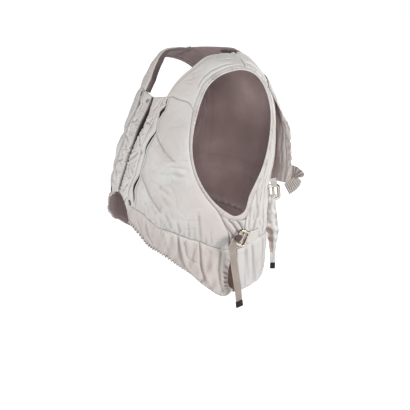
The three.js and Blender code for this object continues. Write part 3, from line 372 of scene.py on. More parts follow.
# ------------------------------------------------------------------ cloth
class Grid:
    """A cloth laid on the form: its resting place, outward normals and lengths along both ways."""

    def __init__(self, place, nu, nv, outward=None):
        self.u, self.v = np.meshgrid(np.linspace(0, 1, nu + 1), np.linspace(0, 1, nv + 1))
        self.p = place(self.u, self.v)
        n = unit(np.cross(np.gradient(self.p, axis=1), np.gradient(self.p, axis=0)))
        n = unit(soften(n, 4))
        m = (nv // 2, nu // 2)
        q = self.p[m]
        way = np.array([q[0], q[1] - 4, max(q[2] + 40, 0)]) if outward is None else np.array(outward, float)
        self.sign = 1.0 if n[m] @ way > 0 else -1.0
        self.n = n * self.sign
        a = np.linalg.norm(np.diff(self.p, axis=1), axis=-1)
        b = np.linalg.norm(np.diff(self.p, axis=0), axis=-1)
        self.s = np.concatenate([np.zeros_like(a[:, :1]), np.cumsum(a, 1)], 1)
        self.t = np.concatenate([np.zeros_like(b[:1]), np.cumsum(b, 0)], 0)
        self.left, self.right = self.s, self.s[:, -1:] - self.s
        self.top, self.foot = self.t, self.t[-1:] - self.t
        self.edge = np.minimum(np.minimum(self.left, self.right), np.minimum(self.top, self.foot))
        rim = np.zeros(self.u.shape, bool)
        rim[0], rim[-1], rim[:, 0], rim[:, -1] = True, True, True, True
        self.rim = rim

    def height(self, x):
        return dot(x - self.p, self.n)


def settle(g, gain_u, gain_v, target, low, high, start, pinned=None, steps=None, bend=0.35, stiff=0.12, hold=0.03, slide=4.0):
    """Lets a cloth that is larger than its resting place settle into folds over its filling.
    gain_u and gain_v are how much longer the cloth is than the place it is sewn to; the
    filling pushes towards target; the wearer's form and the outer cloth limit low and high."""
    steps = STEPS if steps is None else steps
    pinned = g.rim if pinned is None else pinned
    p, n = g.p, g.n
    a, b = p[:, 1:] - p[:, :-1], p[1:] - p[:-1]
    one = np.ones(g.u.shape)
    gu, gv = gain_u * one, gain_v * one
    gu, gv = (gu[:, 1:] + gu[:, :-1]) / 2 - 1, (gv[1:] + gv[:-1]) / 2 - 1
    length = lambda q: np.sqrt(dot(q, q))

    def rests(k):
        A, B = a * (1 + gu * k)[..., None], b * (1 + gv * k)[..., None]
        ca, cb = (A[1:] + A[:-1]) / 2, (B[:, 1:] + B[:, :-1]) / 2
        ru, rv = length(A), length(B)
        return (ru, rv, length(ca + cb), length(cb - ca), ru[:, 1:] + ru[:, :-1], rv[1:] + rv[:-1],
                ru[:, 3:] + ru[:, 2:-1] + ru[:, 1:-2] + ru[:, :-3], rv[3:] + rv[2:-1] + rv[1:-2] + rv[:-3])

    sl, al = slice(None), np.s_
    families = [
        (al[:, :-1], al[:, 1:], 0.7), (al[:-1], al[1:], 0.7), (al[:-1, :-1], al[1:, 1:], 0.35), (al[:-1, 1:], al[1:, :-1], 0.35),
        (al[:, :-2], al[:, 2:], bend), (al[:-2], al[2:], bend), (al[:, :-4], al[:, 4:], stiff), (al[:-4], al[4:], stiff),
    ]
    free = (~pinned)[..., None] * 1.0
    x = p + n * (start * one)[..., None]
    fixed = x.copy()
    target, low, high = target * one, low * one, high * one
    for k in range(steps):
        if k % 6 == 0:
            rest = rests(min(1.0, k / (0.6 * steps)))
        for (ia, ib, w), r in zip(families, rest):
            if w <= 0:
                continue
            d = x[ib] - x[ia]
            l = length(d)
            c = (0.5 * w * (l - r) / np.maximum(l, 1e-6))[..., None] * d
            x[ia] += c
            x[ib] -= c
        d = x - p
        h = dot(d, n)
        side = d - h[..., None] * n
        far = length(side)
        side *= np.minimum(1, slide / np.maximum(far, 1e-6))[..., None]
        h = np.clip(h + hold * (target - h), low, high)
        x = np.where(free > 0, p + side + h[..., None] * n, fixed)
    return x


# ------------------------------------------------------------------ meshes
def mesh_object(name, verts, faces, materials, which=None, uv=None, marks=None, mirror=False, smooth=True):
    """A mesh from arrays in millimetres. faces is a list of index arrays, each with 3 or 4 columns."""
    v = np.array(verts, float) * MM
    groups = [np.asarray(f, np.int64) for f in faces if len(f)]
    if mirror:
        v[:, 0] *= -1
        groups = [f[:, ::-1] for f in groups]
    loops = np.concatenate([f.ravel() for f in groups])
    sizes = np.concatenate([np.full(len(f), f.shape[1]) for f in groups])
    starts = np.concatenate([[0], np.cumsum(sizes)[:-1]])
    me = bpy.data.meshes.new(name)
    me.vertices.add(len(v))
    me.vertices.foreach_set("co", v.astype(np.float32).ravel())
    me.loops.add(len(loops))
    me.loops.foreach_set("vertex_index", loops.astype(np.int32))
    me.polygons.add(len(sizes))
    me.polygons.foreach_set("loop_start", starts.astype(np.int32))
    me.update(calc_edges=True)
    for m in materials:
        me.materials.append(m)
    if which is not None:
        me.polygons.foreach_set("material_index", np.concatenate([np.asarray(w, np.int32) for w in which]))
    me.polygons.foreach_set("use_smooth", np.full(len(sizes), smooth))
    if uv is not None:
        layer = me.uv_layers.new(name="UVMap")
        layer.data.foreach_set("uv", (np.asarray(uv, float)[loops] / 100).astype(np.float32).ravel())
    for key, value in (marks or {}).items():
        me.attributes.new(key, "FLOAT", "POINT").data.foreach_set("value", np.asarray(value, np.float32))
    me.validate()
    me.update()
    o = bpy.data.objects.new(name, me)
    bpy.context.scene.collection.objects.link(o)
    return o


def hollow_of(h, passes=10):
    """How far each point of a cloth lies below its surroundings, from -1 to 1."""
    return np.clip((soften(h, passes) - h) / 0.6, -1, 1)


def shell(name, g, outer, inner, materials, edges=(0.15, 0.15, 0.15, 0.15), rings=2, seams=(1, 1, 1, 1), painted_shading=None, mirror=False, lines=None, facing=None, under=None, turn_in=None):
    """A closed shell between an outer and an inner cloth. edges gives how far the rim bulges at
    the top, right, foot and left; seams says which of those edges are sewn to a neighbour,
    and those edges and the given lines get painted shade; the mark given for the outer cloth
    paints shade in its hollows and light on its ridges; facing marks where the outer cloth is
    turned over to the inside, under where the lining is turned to the outside, in the last
    material, which may be a copy of the lining that paints shade; turn_in is the first strip
    of the rim cut from the lining."""
    m, n = g.u.shape
    idx = np.arange(m * n).reshape(m, n)
    loop = np.concatenate([idx[0], idx[1:, -1], idx[-1, -2::-1], idx[-2:0:-1, 0]])
    inward = np.concatenate([idx[1], idx[1:, -2], idx[-2, -2::-1], idx[-2:0:-1, 1]])
    bulge = np.concatenate([np.full(n, edges[0]), np.full(m - 1, edges[1]), np.full(n - 1, edges[2]), np.full(m - 2, edges[3])])
    O, I = outer.reshape(-1, 3), inner.reshape(-1, 3)
    c, a = (O[loop] + I[loop]) / 2, (O[loop] - I[loop]) / 2
    e = O[loop] - O[inward]
    e = unit(e - dot(e, unit(a))[:, None] * unit(a))
    verts, levels, B, M = [O, I], [loop], len(loop), m * n
    for k in range(1, rings + 1):
        f = math.pi * k / (rings + 1)
        verts.append(c + a * math.cos(f) + e * (np.linalg.norm(a, axis=1) * bulge * math.sin(f))[:, None])
        levels.append(2 * M + (k - 1) * B + np.arange(B))
    levels.append(M + loop)
    q = np.stack([idx[:-1, :-1], idx[:-1, 1:], idx[1:, 1:], idx[1:, :-1]], -1).reshape(-1, 4)
    out, back = q, M + q[:, ::-1]
    rim = []
    for x, y in zip(levels[:-1], levels[1:]):
        rim.append(np.stack([np.roll(x, -1), x, y, np.roll(y, -1)], 1))
    rim = np.concatenate(rim)
    faces = [out, back, rim]
    if g.sign < 0:
        faces = [f[:, ::-1] for f in faces]
    st = np.stack([g.s.ravel(), g.t.ravel()], 1)
    uv = np.concatenate([st, st] + [st[loop]] * rings)
    far = np.full(g.u.shape, 99.0)
    for d, on in zip((g.top, g.right, g.foot, g.left), seams):
        if on:
            far = np.minimum(far, d)
    if lines is not None:
        far = np.minimum(far, lines)
    # the seam mark paints shade along sewn edges and along the given lines
    seam = np.exp(-((far / 1.0) ** 2)).ravel()
    # painted shade in the hollows and painted light on the ridges of the outer cloth; the lining gets painted shading
    # from its own hollows, seen from inside
    low = hollow_of(g.height(outer)).ravel() if painted_shading is None else painted_shading.ravel()
    deep = hollow_of(g.height(inner)).ravel() * -0.6
    ring_seam = np.concatenate([seam[loop]] * rings) if rings else np.zeros(0)
    marks = {
        "seam": np.concatenate([seam, 0 * seam, ring_seam]),
        "painted_shading": np.concatenate([low, deep] + [low[loop]] * rings),
    }
    second = min(1, len(materials) - 1)
    lined, face = np.full(len(back), second), np.zeros(len(out))
    if facing is not None:
        lined = np.where(facing[:-1, :-1].ravel(), 0, lined)
    if under is not None:
        face = np.where(under[:-1, :-1].ravel(), len(materials) - 1, face)
    which = [face, lined, np.repeat((np.arange(rings + 1) >= (rings if turn_in is None else turn_in)) * second, B)]
    return mesh_object(name, np.concatenate(verts), faces, materials, which, uv, marks, mirror)


def tube(path, radius, sides=10, closed=False, squash=1.0, up=None):
    """Vertices and faces of a round bar along a path."""
    p = np.array(path, float)
    n = len(p)
    t = unit(np.roll(p, -1, 0) - np.roll(p, 1, 0)) if closed else unit(np.gradient(p, axis=0))
    r = np.broadcast_to(np.asarray(radius, float), (n,))
    if up is None:
        w = np.zeros_like(p)
        w[0] = unit(np.cross(t[0], [0.3, 0.5, 0.8]))
        for i in range(1, n):
            w[i] = unit(w[i - 1] - (w[i - 1] @ t[i]) * t[i])
    else:
        up = np.broadcast_to(np.asarray(up, float), p.shape)
        w = unit(up - dot(up, t)[:, None] * t)
    b = np.cross(t, w)
    f = np.arange(sides) * 2 * math.pi / sides
    v = p[:, None] + r[:, None, None] * (np.cos(f)[None, :, None] * b[:, None] + squash * np.sin(f)[None, :, None] * w[:, None])
    idx = np.arange(n * sides).reshape(n, sides)
    nxt = np.roll(idx, -1, 0) if closed else idx[1:]
    cur = idx if closed else idx[:-1]
    quads = np.stack([cur, np.roll(cur, -1, 1), np.roll(nxt, -1, 1), nxt], -1).reshape(-1, 4)
    v = v.reshape(-1, 3)
    tris = np.zeros((0, 3), int)
    if not closed:
        k = len(v)
        v = np.vstack([v, p[:1], p[-1:]])
        a, c = idx[0], idx[-1]
        tris = np.concatenate([np.stack([np.roll(a, -1), a, np.full(sides, k)], 1), np.stack([c, np.roll(c, -1), np.full(sides, k + 1)], 1)])
    return v, quads, tris


class Bag:
    """Collects many small meshes into one."""

    def __init__(self):
        self.v, self.q, self.t, self.uv, self.mark, self.n = [], [], [], [], [], 0

    def add(self, v, q, t=None, uv=None, mark=None):
        self.v.append(v)
        self.mark.append(np.zeros(len(v)) if mark is None else mark)
        if len(q):
            self.q.append(np.asarray(q) + self.n)
        if t is not None and len(t):
            self.t.append(np.asarray(t) + self.n)
        self.uv.append(np.zeros((len(v), 2)) if uv is None else uv)
        self.n += len(v)

    def object(self, name, materials, mirror=False):
        faces = [np.concatenate(x) for x in (self.q, self.t) if x]
        return mesh_object(name, np.concatenate(self.v), faces, materials, None, np.concatenate(self.uv), {"painted_shading": np.concatenate(self.mark)}, mirror)


def stitch_row(bag, path, normal, pitch=3.4, length=2.4, radius=0.34, lift=0.12):
    """A row of lockstitches along a path on a cloth."""
    path, normal = np.asarray(path, float), np.asarray(normal, float)
    s = np.concatenate([[0], np.cumsum(np.linalg.norm(np.diff(path, axis=0), axis=1))])
    count = int((s[-1] - length) / pitch)
    if count < 1:
        return
    mids = np.arange(count) * pitch + length / 2 + 0.4
    offs = np.array([-0.5, -0.25, 0.25, 0.5]) * length
    drop = np.array([-0.45, 0.1, 0.1, -0.45]) * radius * 2 + lift
    size = np.array([0.55, 1.0, 1.0, 0.55]) * radius
    at = mids[:, None] + offs[None]
    look = lambda arr: np.stack([np.interp(at, s, arr[:, k]) for k in range(3)], -1)
    c, n = look(path), unit(look(normal))
    t = unit(c[:, -1] - c[:, 0])[:, None]
    n = unit(n - dot(n, t)[..., None] * t)
    w = np.cross(np.broadcast_to(t, n.shape), n)
    c = c + n * drop[None, :, None]
    f = np.arange(6) * math.pi / 3
    v = c[:, :, None] + size[None, :, None, None] * (np.cos(f)[None, None, :, None] * w[:, :, None] + np.sin(f)[None, None, :, None] * n[:, :, None])
    k = len(mids)
    base = np.arange(4 * 6).reshape(4, 6)
    q1 = np.stack([base[:-1], base[1:], np.roll(base[1:], -1, 1), np.roll(base[:-1], -1, 1)], -1).reshape(-1, 4)
    caps = [base[0][[0, 1, 2, 3]], base[0][[0, 3, 4, 5]], base[-1][[3, 2, 1, 0]], base[-1][[5, 4, 3, 0]]]
    q1 = np.concatenate([q1, np.array(caps)])
    q = (q1[None] + (np.arange(k) * 24)[:, None, None]).reshape(-1, 4)
    bag.add(v.reshape(-1, 3), q)


def grid_line(g, x, us, vs):
    """Points of a cloth and its normals along fractional positions us, vs."""
    m, n = g.u.shape
    fu, fv = np.asarray(us, float) * (n - 1), np.asarray(vs, float) * (m - 1)
    i, j = np.clip(fv.astype(int), 0, m - 2), np.clip(fu.astype(int), 0, n - 2)
    a, b = (fv - i)[:, None], (fu - j)[:, None]
    pick = lambda y: (1 - a) * ((1 - b) * y[i, j] + b * y[i, j + 1]) + a * ((1 - b) * y[i + 1, j] + b * y[i + 1, j + 1])
    normal = g.sign * unit(np.cross(np.gradient(x, axis=1), np.gradient(x, axis=0)))
    return pick(x), unit(pick(normal))


# ------------------------------------------------------------------ materials
def srgb(r, g, b):
    f = lambda c: c / 12.92 if c <= 0.04045 else ((c + 0.055) / 1.055) ** 2.4
    return (f(r / 255), f(g / 255), f(b / 255), 1.0)


class Shade:
    """A node material in the making."""

    def __init__(self, name):
        self.mat = bpy.data.materials.new(name)
        self.mat.use_nodes = True
        self.tree = self.mat.node_tree
        self.tree.nodes.clear()
        self.out = self.node("ShaderNodeOutputMaterial")
        self.bsdf = self.node("ShaderNodeBsdfPrincipled")
        self.link(self.bsdf.outputs["BSDF"], self.out.inputs["Surface"])
        self.place = self.node("ShaderNodeTexCoord")

    def node(self, kind, **values):
        n = self.tree.nodes.new(kind)
        for k, v in values.items():
            setattr(n, k, v)
        return n

    def link(self, a, b):
        self.tree.links.new(a, b)

    def set(self, **values):
        for k, v in values.items():
            self.bsdf.inputs[k.replace("_", " ")].default_value = v
        return self

    def noise(self, size, detail=2.0, rough=0.5, stretch=None, seed=0.0):
        """Noise with features about size mm across, in the object's own place."""
        where = self.place.outputs["Object"]
        if stretch or seed:
            mp = self.node("ShaderNodeMapping")
            mp.inputs["Scale"].default_value = stretch or (1, 1, 1)
            mp.inputs["Location"].default_value = (seed, seed * 0.7, -seed)
            self.link(where, mp.inputs["Vector"])
            where = mp.outputs["Vector"]
        n = self.node("ShaderNodeTexNoise")
        n.inputs["Scale"].default_value = 1000.0 / size
        n.inputs["Detail"].default_value = detail
        n.inputs["Roughness"].default_value = rough
        self.link(where, n.inputs["Vector"])
        return n.outputs["Fac"]

    def bands(self, pitch, across, turn=0.0):
        """Stripes with a pitch in mm along the cloth's own u (X) or v (Y), or turned."""
        w = self.node("ShaderNodeTexWave", wave_type="BANDS", bands_direction=across, wave_profile="SIN")
        w.inputs["Scale"].default_value = (2 * math.pi / 20) / (pitch / 100)
        w.inputs["Distortion"].default_value = 0.0
        where = self.place.outputs["UV"]
        if turn:
            mp = self.node("ShaderNodeMapping")
            mp.inputs["Rotation"].default_value = (0, 0, math.radians(turn))
            self.link(where, mp.inputs["Vector"])
            where = mp.outputs["Vector"]
        self.link(where, w.inputs["Vector"])
        return w.outputs["Fac"]

    def math(self, op, a, b=None, clamp=False):
        n = self.node("ShaderNodeMath", operation=op, use_clamp=clamp)
        for k, x in enumerate((a, b)):
            if x is None:
                continue
            if isinstance(x, (int, float)):
                n.inputs[k].default_value = x
            else:
                self.link(x, n.inputs[k])
        return n.outputs[0]

    def span(self, value, a, b, low, high):
        n = self.node("ShaderNodeMapRange")
        self.link(value, n.inputs["Value"])
        for k, x in zip(("From Min", "From Max", "To Min", "To Max"), (a, b, low, high)):
            n.inputs[k].default_value = x
        return n.outputs["Result"]

    def mix(self, factor, a, b, blend="MIX"):
        n = self.node("ShaderNodeMix", data_type="RGBA", blend_type=blend)
        if isinstance(factor, (int, float)):
            n.inputs["Factor"].default_value = factor
        else:
            self.link(factor, n.inputs["Factor"])
        for socket, x in ((n.inputs[6], a), (n.inputs[7], b)):
            if isinstance(x, tuple):
                socket.default_value = x
            else:
                self.link(x, socket)
        return n.outputs[2]

    def mark(self, name):
        return self.node("ShaderNodeAttribute", attribute_name=name).outputs["Fac"]

    def bump(self, height, deep, strength=1.0, after=None):
        n = self.node("ShaderNodeBump")
        n.inputs["Distance"].default_value = deep * MM
        n.inputs["Strength"].default_value = strength
        self.link(height, n.inputs["Height"])
        if after is not None:
            self.link(after, n.inputs["Normal"])
        return n.outputs["Normal"]


def tint(c, k):
    return (min(c[0] * k, 1), min(c[1] * k, 1), min(c[2] * k, 1), 1.0)


def nylon(name, colour, warm, rough=0.56, sheen=0.12, weave=0.42, crinkle=(9.0, 1.1), tone=0.05, groove=0.52, painted_shading=0.44):
    """Light woven nylon: fine plain weave, small creases, soft mottling, painted shade in the creases and along the
    seams, and a painted highlight on the ridges.
    """
    s = Shade(name)
    s.set(Sheen_Weight=sheen, Sheen_Roughness=0.45, Specular_IOR_Level=0.32)
    big, small = s.noise(46.0, 3.0), s.noise(7.0, 2.0, seed=3.1)
    c = s.mix(s.span(big, 0.35, 0.65, 0, 1), tint(colour, 1 - tone), tint(colour, 1 + tone))
    c = s.mix(s.math("MULTIPLY", s.span(s.noise(85.0, 2.0, seed=7.7), 0.42, 0.68, 0, 1), 0.55), c, warm)
    c = s.mix(s.math("MULTIPLY", s.span(small, 0.3, 0.7, 0, 1), 0.06), c, tint(colour, 0.72))
    # painted shade in the hollows of the cloth and a painted highlight on its ridges, from the mark of how far each
    # point lies below its surroundings
    low = s.mark("painted_shading")
    c = s.mix(s.math("MULTIPLY", s.math("MAXIMUM", low, 0.0), painted_shading, clamp=True), c, tint(warm, 0.42))
    c = s.mix(s.math("MULTIPLY", s.math("MAXIMUM", s.math("MULTIPLY", low, -1.0), 0.0), 0.10, clamp=True), c, (0.86, 0.85, 0.83, 1))
    # painted shade along seams and lines of stitching
    c = s.mix(s.math("MULTIPLY", s.mark("seam"), groove, clamp=True), c, tint(warm, 0.30))
    s.link(c, s.bsdf.inputs["Base Color"])
    s.link(s.span(small, 0.25, 0.75, rough - 0.06, rough + 0.08), s.bsdf.inputs["Roughness"])
    thread = s.math("MULTIPLY", s.bands(weave, "X"), s.bands(weave, "Y"))
    n = s.bump(thread, 0.05, 0.5)
    n = s.bump(s.noise(crinkle[0], 3.0, 0.55, seed=1.3), crinkle[1], 0.7, n)
    s.link(n, s.bsdf.inputs["Normal"])
    return s.mat


STONE, WARM = srgb(205, 203, 200), srgb(203, 191, 187)
SHELL = nylon("padded_shell", STONE, WARM, groove=0.66, painted_shading=0.5)
RUCHED = nylon("ruched_shell", srgb(210, 207, 204), WARM, painted_shading=0.74, groove=0.80, crinkle=(5.5, 1.0))
THIN = nylon("thin_shell", srgb(215, 212, 209), srgb(207, 197, 193), rough=0.6, painted_shading=0.5, crinkle=(6.0, 0.6))
HEM = nylon("hem_shell", srgb(200, 195, 191), srgb(199, 184, 179), groove=0.62, painted_shading=0.48)
# a copy of the lining for the hanging back strap's turned-out edge, which also paints the brown shade on that side
STRAP_LINING_SHADE = nylon("strap_lining_and_shade", srgb(184, 166, 161), srgb(170, 150, 146), rough=0.5, sheen=0.2, weave=0.36, crinkle=(8.0, 0.6), tone=0.08, painted_shading=0.45)
# a lighter copy of the thin shell: painted light for the back flap
LIT_FLAP_SHELL = nylon("flap_shell_painted_light", srgb(233, 226, 223), srgb(224, 211, 208), rough=0.6, painted_shading=0.5, crinkle=(6.0, 0.6))
LINING = nylon("lining", srgb(158, 136, 134), srgb(140, 116, 114), rough=0.5, sheen=0.2, weave=0.36, crinkle=(8.0, 0.6), tone=0.10, painted_shading=0.3)
# a lighter copy of the lining: painted light for the inside of the back flap
LIT_FLAP_LINING = nylon("flap_lining_painted_light", srgb(210, 187, 184), srgb(196, 170, 167), rough=0.5, sheen=0.2, weave=0.36, crinkle=(8.0, 0.6), tone=0.08, painted_shading=0.45)

# a darker copy of the lining: painted shade for the lining shown at the far neck edge
SHADED_YOKE_LINING = nylon("yoke_lining_painted_shade", srgb(112, 97, 96), srgb(96, 81, 80), rough=0.5, sheen=0.2, weave=0.36, crinkle=(8.0, 0.6), tone=0.10, painted_shading=0.4)
# a darker copy of the lining: painted shade for the lining shown in the side slits
SHADED_LINING = nylon("lining_painted_shade", srgb(116, 90, 82), srgb(100, 74, 66), rough=0.5, sheen=0.2, weave=0.36, crinkle=(8.0, 0.6), tone=0.10, painted_shading=0.4)


def make_rib():
    s = Shade("rib_knit")
    s.set(Sheen_Weight=0.25, Sheen_Roughness=0.5, Specular_IOR_Level=0.2, Roughness=0.85)
    c = s.mix(s.span(s.noise(14.0, 3.0), 0.3, 0.7, 0, 1), srgb(184, 175, 170), srgb(197, 189, 183))
    # painted shade in the furrows between the ribs, from the mark set on the flap band
    c = s.mix(s.math("MULTIPLY", s.mark("painted_shading"), 0.75, clamp=True), c, srgb(92, 79, 75))
    s.link(c, s.bsdf.inputs["Base Color"])
    n = s.bump(s.math("MULTIPLY", s.bands(0.9, "Y", 22), s.bands(0.9, "Y", -22)), 0.16, 0.6)
    s.link(s.bump(s.noise(1.2, 2.0), 0.12, 0.5, n), s.bsdf.inputs["Normal"])
    return s.mat


def make_webbing():
    s = Shade("webbing")
    s.set(Sheen_Weight=0.15, Sheen_Roughness=0.4, Specular_IOR_Level=0.3)
    twill = s.math("MULTIPLY", s.bands(1.15, "Y", 28), s.bands(1.15, "Y", -28))
    c = s.mix(s.span(s.noise(20.0, 3.0), 0.3, 0.7, 0, 1), srgb(152, 141, 134), srgb(170, 158, 150))
    c = s.mix(s.math("MULTIPLY", twill, 0.35), c, srgb(132, 116, 111))
    c = s.mix(s.math("MULTIPLY", s.mark("seam"), 0.6, clamp=True), c, srgb(206, 196, 189))
    s.link(c, s.bsdf.inputs["Base Color"])
    s.link(s.span(s.noise(3.0, 2.0), 0.3, 0.7, 0.52, 0.7), s.bsdf.inputs["Roughness"])
    n = s.bump(twill, 0.14, 0.7)
    s.link(s.bump(s.bands(0.5, "X"), 0.05, 0.5, n), s.bsdf.inputs["Normal"])
    return s.mat


def make_dark_cloth(name, a, b, pitch):
    s = Shade(name)
    s.set(Sheen_Weight=0.1, Specular_IOR_Level=0.25, Roughness=0.75)
    s.link(s.mix(s.span(s.noise(6.0, 3.0), 0.3, 0.7, 0, 1), a, b), s.bsdf.inputs["Base Color"])
    w = s.math("MULTIPLY", s.bands(pitch, "X", 12), s.bands(pitch, "Y", 12))
    s.link(s.bump(w, 0.1, 0.6), s.bsdf.inputs["Normal"])
    return s.mat


def make_metal():
    s = Shade("buckle_metal")
    s.set(Metallic=1.0, Specular_IOR_Level=0.5)
    c = s.mix(s.span(s.noise(9.0, 3.0), 0.35, 0.65, 0, 1), srgb(208, 202, 194), srgb(188, 177, 158))
    c = s.mix(s.span(s.noise(2.2, 4.0, 0.6, seed=2.0), 0.56, 0.74, 0, 0.35), c, srgb(118, 102, 82))
    # painted shade and dark reflection along the flanks of the buckle's rods, from the mark set in buckle_object
    c = s.mix(s.math("MULTIPLY", s.mark("painted_shading"), 0.95, clamp=True), c, srgb(58, 48, 40))
    s.link(c, s.bsdf.inputs["Base Color"])
    s.link(s.span(s.noise(3.0, 4.0, 0.6), 0.3, 0.7, 0.20, 0.36), s.bsdf.inputs["Roughness"])
    s.link(s.bump(s.noise(1.4, 3.0, 0.6, seed=5.0), 0.05, 0.4), s.bsdf.inputs["Normal"])
    return s.mat


def make_plastic(name, a, b, rough):
    s = Shade(name)
    s.set(Specular_IOR_Level=0.25)
    s.link(s.mix(s.span(s.noise(4.0, 3.0), 0.35, 0.65, 0, 1), a, b), s.bsdf.inputs["Base Color"])
    s.link(s.span(s.noise(1.6, 3.0, seed=1.0), 0.3, 0.7, rough - 0.08, rough + 0.1), s.bsdf.inputs["Roughness"])
    s.link(s.bump(s.noise(0.5, 2.0), 0.03, 0.5), s.bsdf.inputs["Normal"])
    return s.mat


def make_thread():
    s = Shade("thread")
    s.set(Sheen_Weight=0.2, Roughness=0.6, Specular_IOR_Level=0.3)
    s.link(s.mix(s.span(s.noise(3.0, 2.0), 0.3, 0.7, 0, 1), srgb(186, 178, 172), srgb(206, 200, 195)), s.bsdf.inputs["Base Color"])
    s.link(s.bump(s.noise(0.4, 2.0), 0.05, 0.6), s.bsdf.inputs["Normal"])
    return s.mat


RIB, WEB, METAL, THREAD = make_rib(), make_webbing(), make_metal(), make_thread()
# dark webbing: painted shade where the side strap turns over the buckle bar
WEB_SHADE = make_dark_cloth("webbing_painted_shade", srgb(74, 58, 52), srgb(98, 80, 73), 1.1)
TAPE = make_dark_cloth("zip_tape", srgb(22, 18, 18), srgb(34, 28, 27), 0.7)
LABEL = make_dark_cloth("label_cloth", srgb(52, 46, 44), srgb(74, 66, 62), 0.6)
BLACK = make_plastic("strap_tip", srgb(11, 10, 10), srgb(19, 18, 18), 0.62)
TEETH = make_plastic("zip_teeth", srgb(30, 26, 25), srgb(44, 38, 36), 0.36)
SNAP_RING = make_plastic("snap_ring", srgb(176, 168, 162), srgb(192, 184, 178), 0.36)
DARK_THREAD = make_plastic("dark_thread", srgb(62, 52, 50), srgb(80, 68, 65), 0.6)


# ------------------------------------------------------------------ camera, light, floor
def stage():
    az, el, far, lens = math.radians(60.8), math.radians(18.9), 1.2024, 36 * 591.2 / 410
    right = Vector((math.cos(az), math.sin(az), 0))
    back = Vector((math.cos(el) * math.sin(az), -math.cos(el) * math.cos(az), math.sin(el)))
    up = back.cross(right)
    aim = right * 0.0165 + Vector((0, 0, -0.2909))
    data = bpy.data.cameras.new("camera")
    data.lens, data.sensor_width, data.clip_start, data.clip_end = lens, 36.0, 0.01, 300
    cam = bpy.data.objects.new("camera", data)
    m = Matrix((right, up, back)).transposed().to_4x4()
    m.translation = aim + back * far
    cam.matrix_world = m
    bpy.context.scene.collection.objects.link(cam)
    bpy.context.scene.camera = cam

    def lamp(name, at, energy, size, colour=(1, 1, 1)):
        light = bpy.data.lights.new(name, "AREA")
        light.shape, light.size, light.energy, light.color = "DISK", size, energy, colour
        o = bpy.data.objects.new(name, light)
        o.location = at
        o.rotation_mode = "QUATERNION"
        o.rotation_quaternion = (Vector((0, 0, -0.2)) - Vector(at)).to_track_quat("-Z", "Y")
        bpy.context.scene.collection.objects.link(o)

    lamp("key", aim + back * 0.8 + right * 2.1 + Vector((0, 0, 0.35)), 31, 0.8)
    lamp("front", aim + back * 2.1 + Vector((0, 0, 0.0)), 19, 0.6)
    lamp("fill", aim + back * 1.2 - right * 2.0 + Vector((0, 0, 0.35)), 18, 0.6)

    world = bpy.data.worlds.new("studio")
    world.use_nodes = True
    t = world.node_tree
    t.nodes.clear()
    out, mixer = t.nodes.new("ShaderNodeOutputWorld"), t.nodes.new("ShaderNodeMixShader")
    soft, seen, path = t.nodes.new("ShaderNodeBackground"), t.nodes.new("ShaderNodeBackground"), t.nodes.new("ShaderNodeLightPath")
    soft.inputs["Color"].default_value, soft.inputs["Strength"].default_value = (1, 1, 1, 1), 0.31
    seen.inputs["Color"].default_value, seen.inputs["Strength"].default_value = (1, 1, 1, 1), 1.0
    t.links.new(path.outputs["Is Camera Ray"], mixer.inputs["Fac"])
    t.links.new(soft.outputs[0], mixer.inputs[1])
    t.links.new(seen.outputs[0], mixer.inputs[2])
    t.links.new(mixer.outputs[0], out.inputs["Surface"])
    bpy.context.scene.world = world

    s = Shade("floor")
    s.set(Roughness=0.9, Specular_IOR_Level=0.1, Emission_Strength=0.92)
    s.bsdf.inputs["Emission Color"].default_value = (1, 1, 1, 1)
    s.link(s.mix(s.span(s.noise(900.0, 2.0), 0.3, 0.7, 0, 1), (0.86, 0.86, 0.86, 1), (0.90, 0.90, 0.90, 1)), s.bsdf.inputs["Base Color"])
    k = np.linspace(-60000, 60000, 13)
    gx, gy = np.meshgrid(k, k)
    v = np.stack([gx.ravel(), gy.ravel(), np.full(gx.size, -1250.0)], 1)
    idx = np.arange(169).reshape(13, 13)
    q = np.stack([idx[:-1, :-1], idx[:-1, 1:], idx[1:, 1:], idx[1:, :-1]], -1).reshape(-1, 4)
    floor = mesh_object("floor", v, [q], [s.mat])
    floor.visible_diffuse = False
    bpy.context.scene.view_settings.view_transform = "Standard"


stage()

PIECES = {}


def take(o, node=None):
    """A finished piece: it rides on the jacket and stands for its node."""
    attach(o, "root")
    if node:
        o.name = node + "_made"
        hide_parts(node)
    PIECES[o.name] = o
    return o


SIDES = (("left", False, 0), ("right", True, 500))
sewing = {"left": Bag(), "right": Bag(), "middle": Bag()}
tacks = {"left": Bag(), "right": Bag()}


def crease(d, floor=0.12, slope=0.42):
    """The most a cloth may rise at a distance d from a line of stitching."""
    return floor + slope * d


def line_distance(turn, z, line):
    """Distance in mm from a line of angles and heights, and the share along it of the nearest point."""
    k = math.radians(150)
    best, share = np.full(np.shape(turn), 1e9), np.zeros(np.shape(turn))
    for i, ((at, az), (bt, bz)) in enumerate(zip(line[:-1], line[1:])):
        ax, bx, px = at * k, bt * k, turn * k
        t = np.clip(((px - ax) * (bx - ax) + (z - az) * (bz - az)) / ((bx - ax) ** 2 + (bz - az) ** 2), 0, 1)
        d = np.hypot(px - lerp(ax, bx, t), z - lerp(az, bz, t))
        share = np.where(d < best, (i + t) / (len(line) - 1), share)
        best = np.minimum(best, d)
    return best, share


def soft_folds(turn, z, folds):
    """Height of soft creases, each a valley with a low ridge beside it."""
    h = np.zeros(np.shape(turn))
    for line, deep, half in folds:
        d, share = line_distance(turn, z, line)
        fade = np.clip(share / 0.15, 0.35, 1) * np.clip((1 - share) / 0.25, 0.2, 1)
        h += deep * fade * (-np.exp(-((d / half) ** 2)) + 0.5 * np.exp(-(((d - 2.1 * half) / half) ** 2)))
    return h


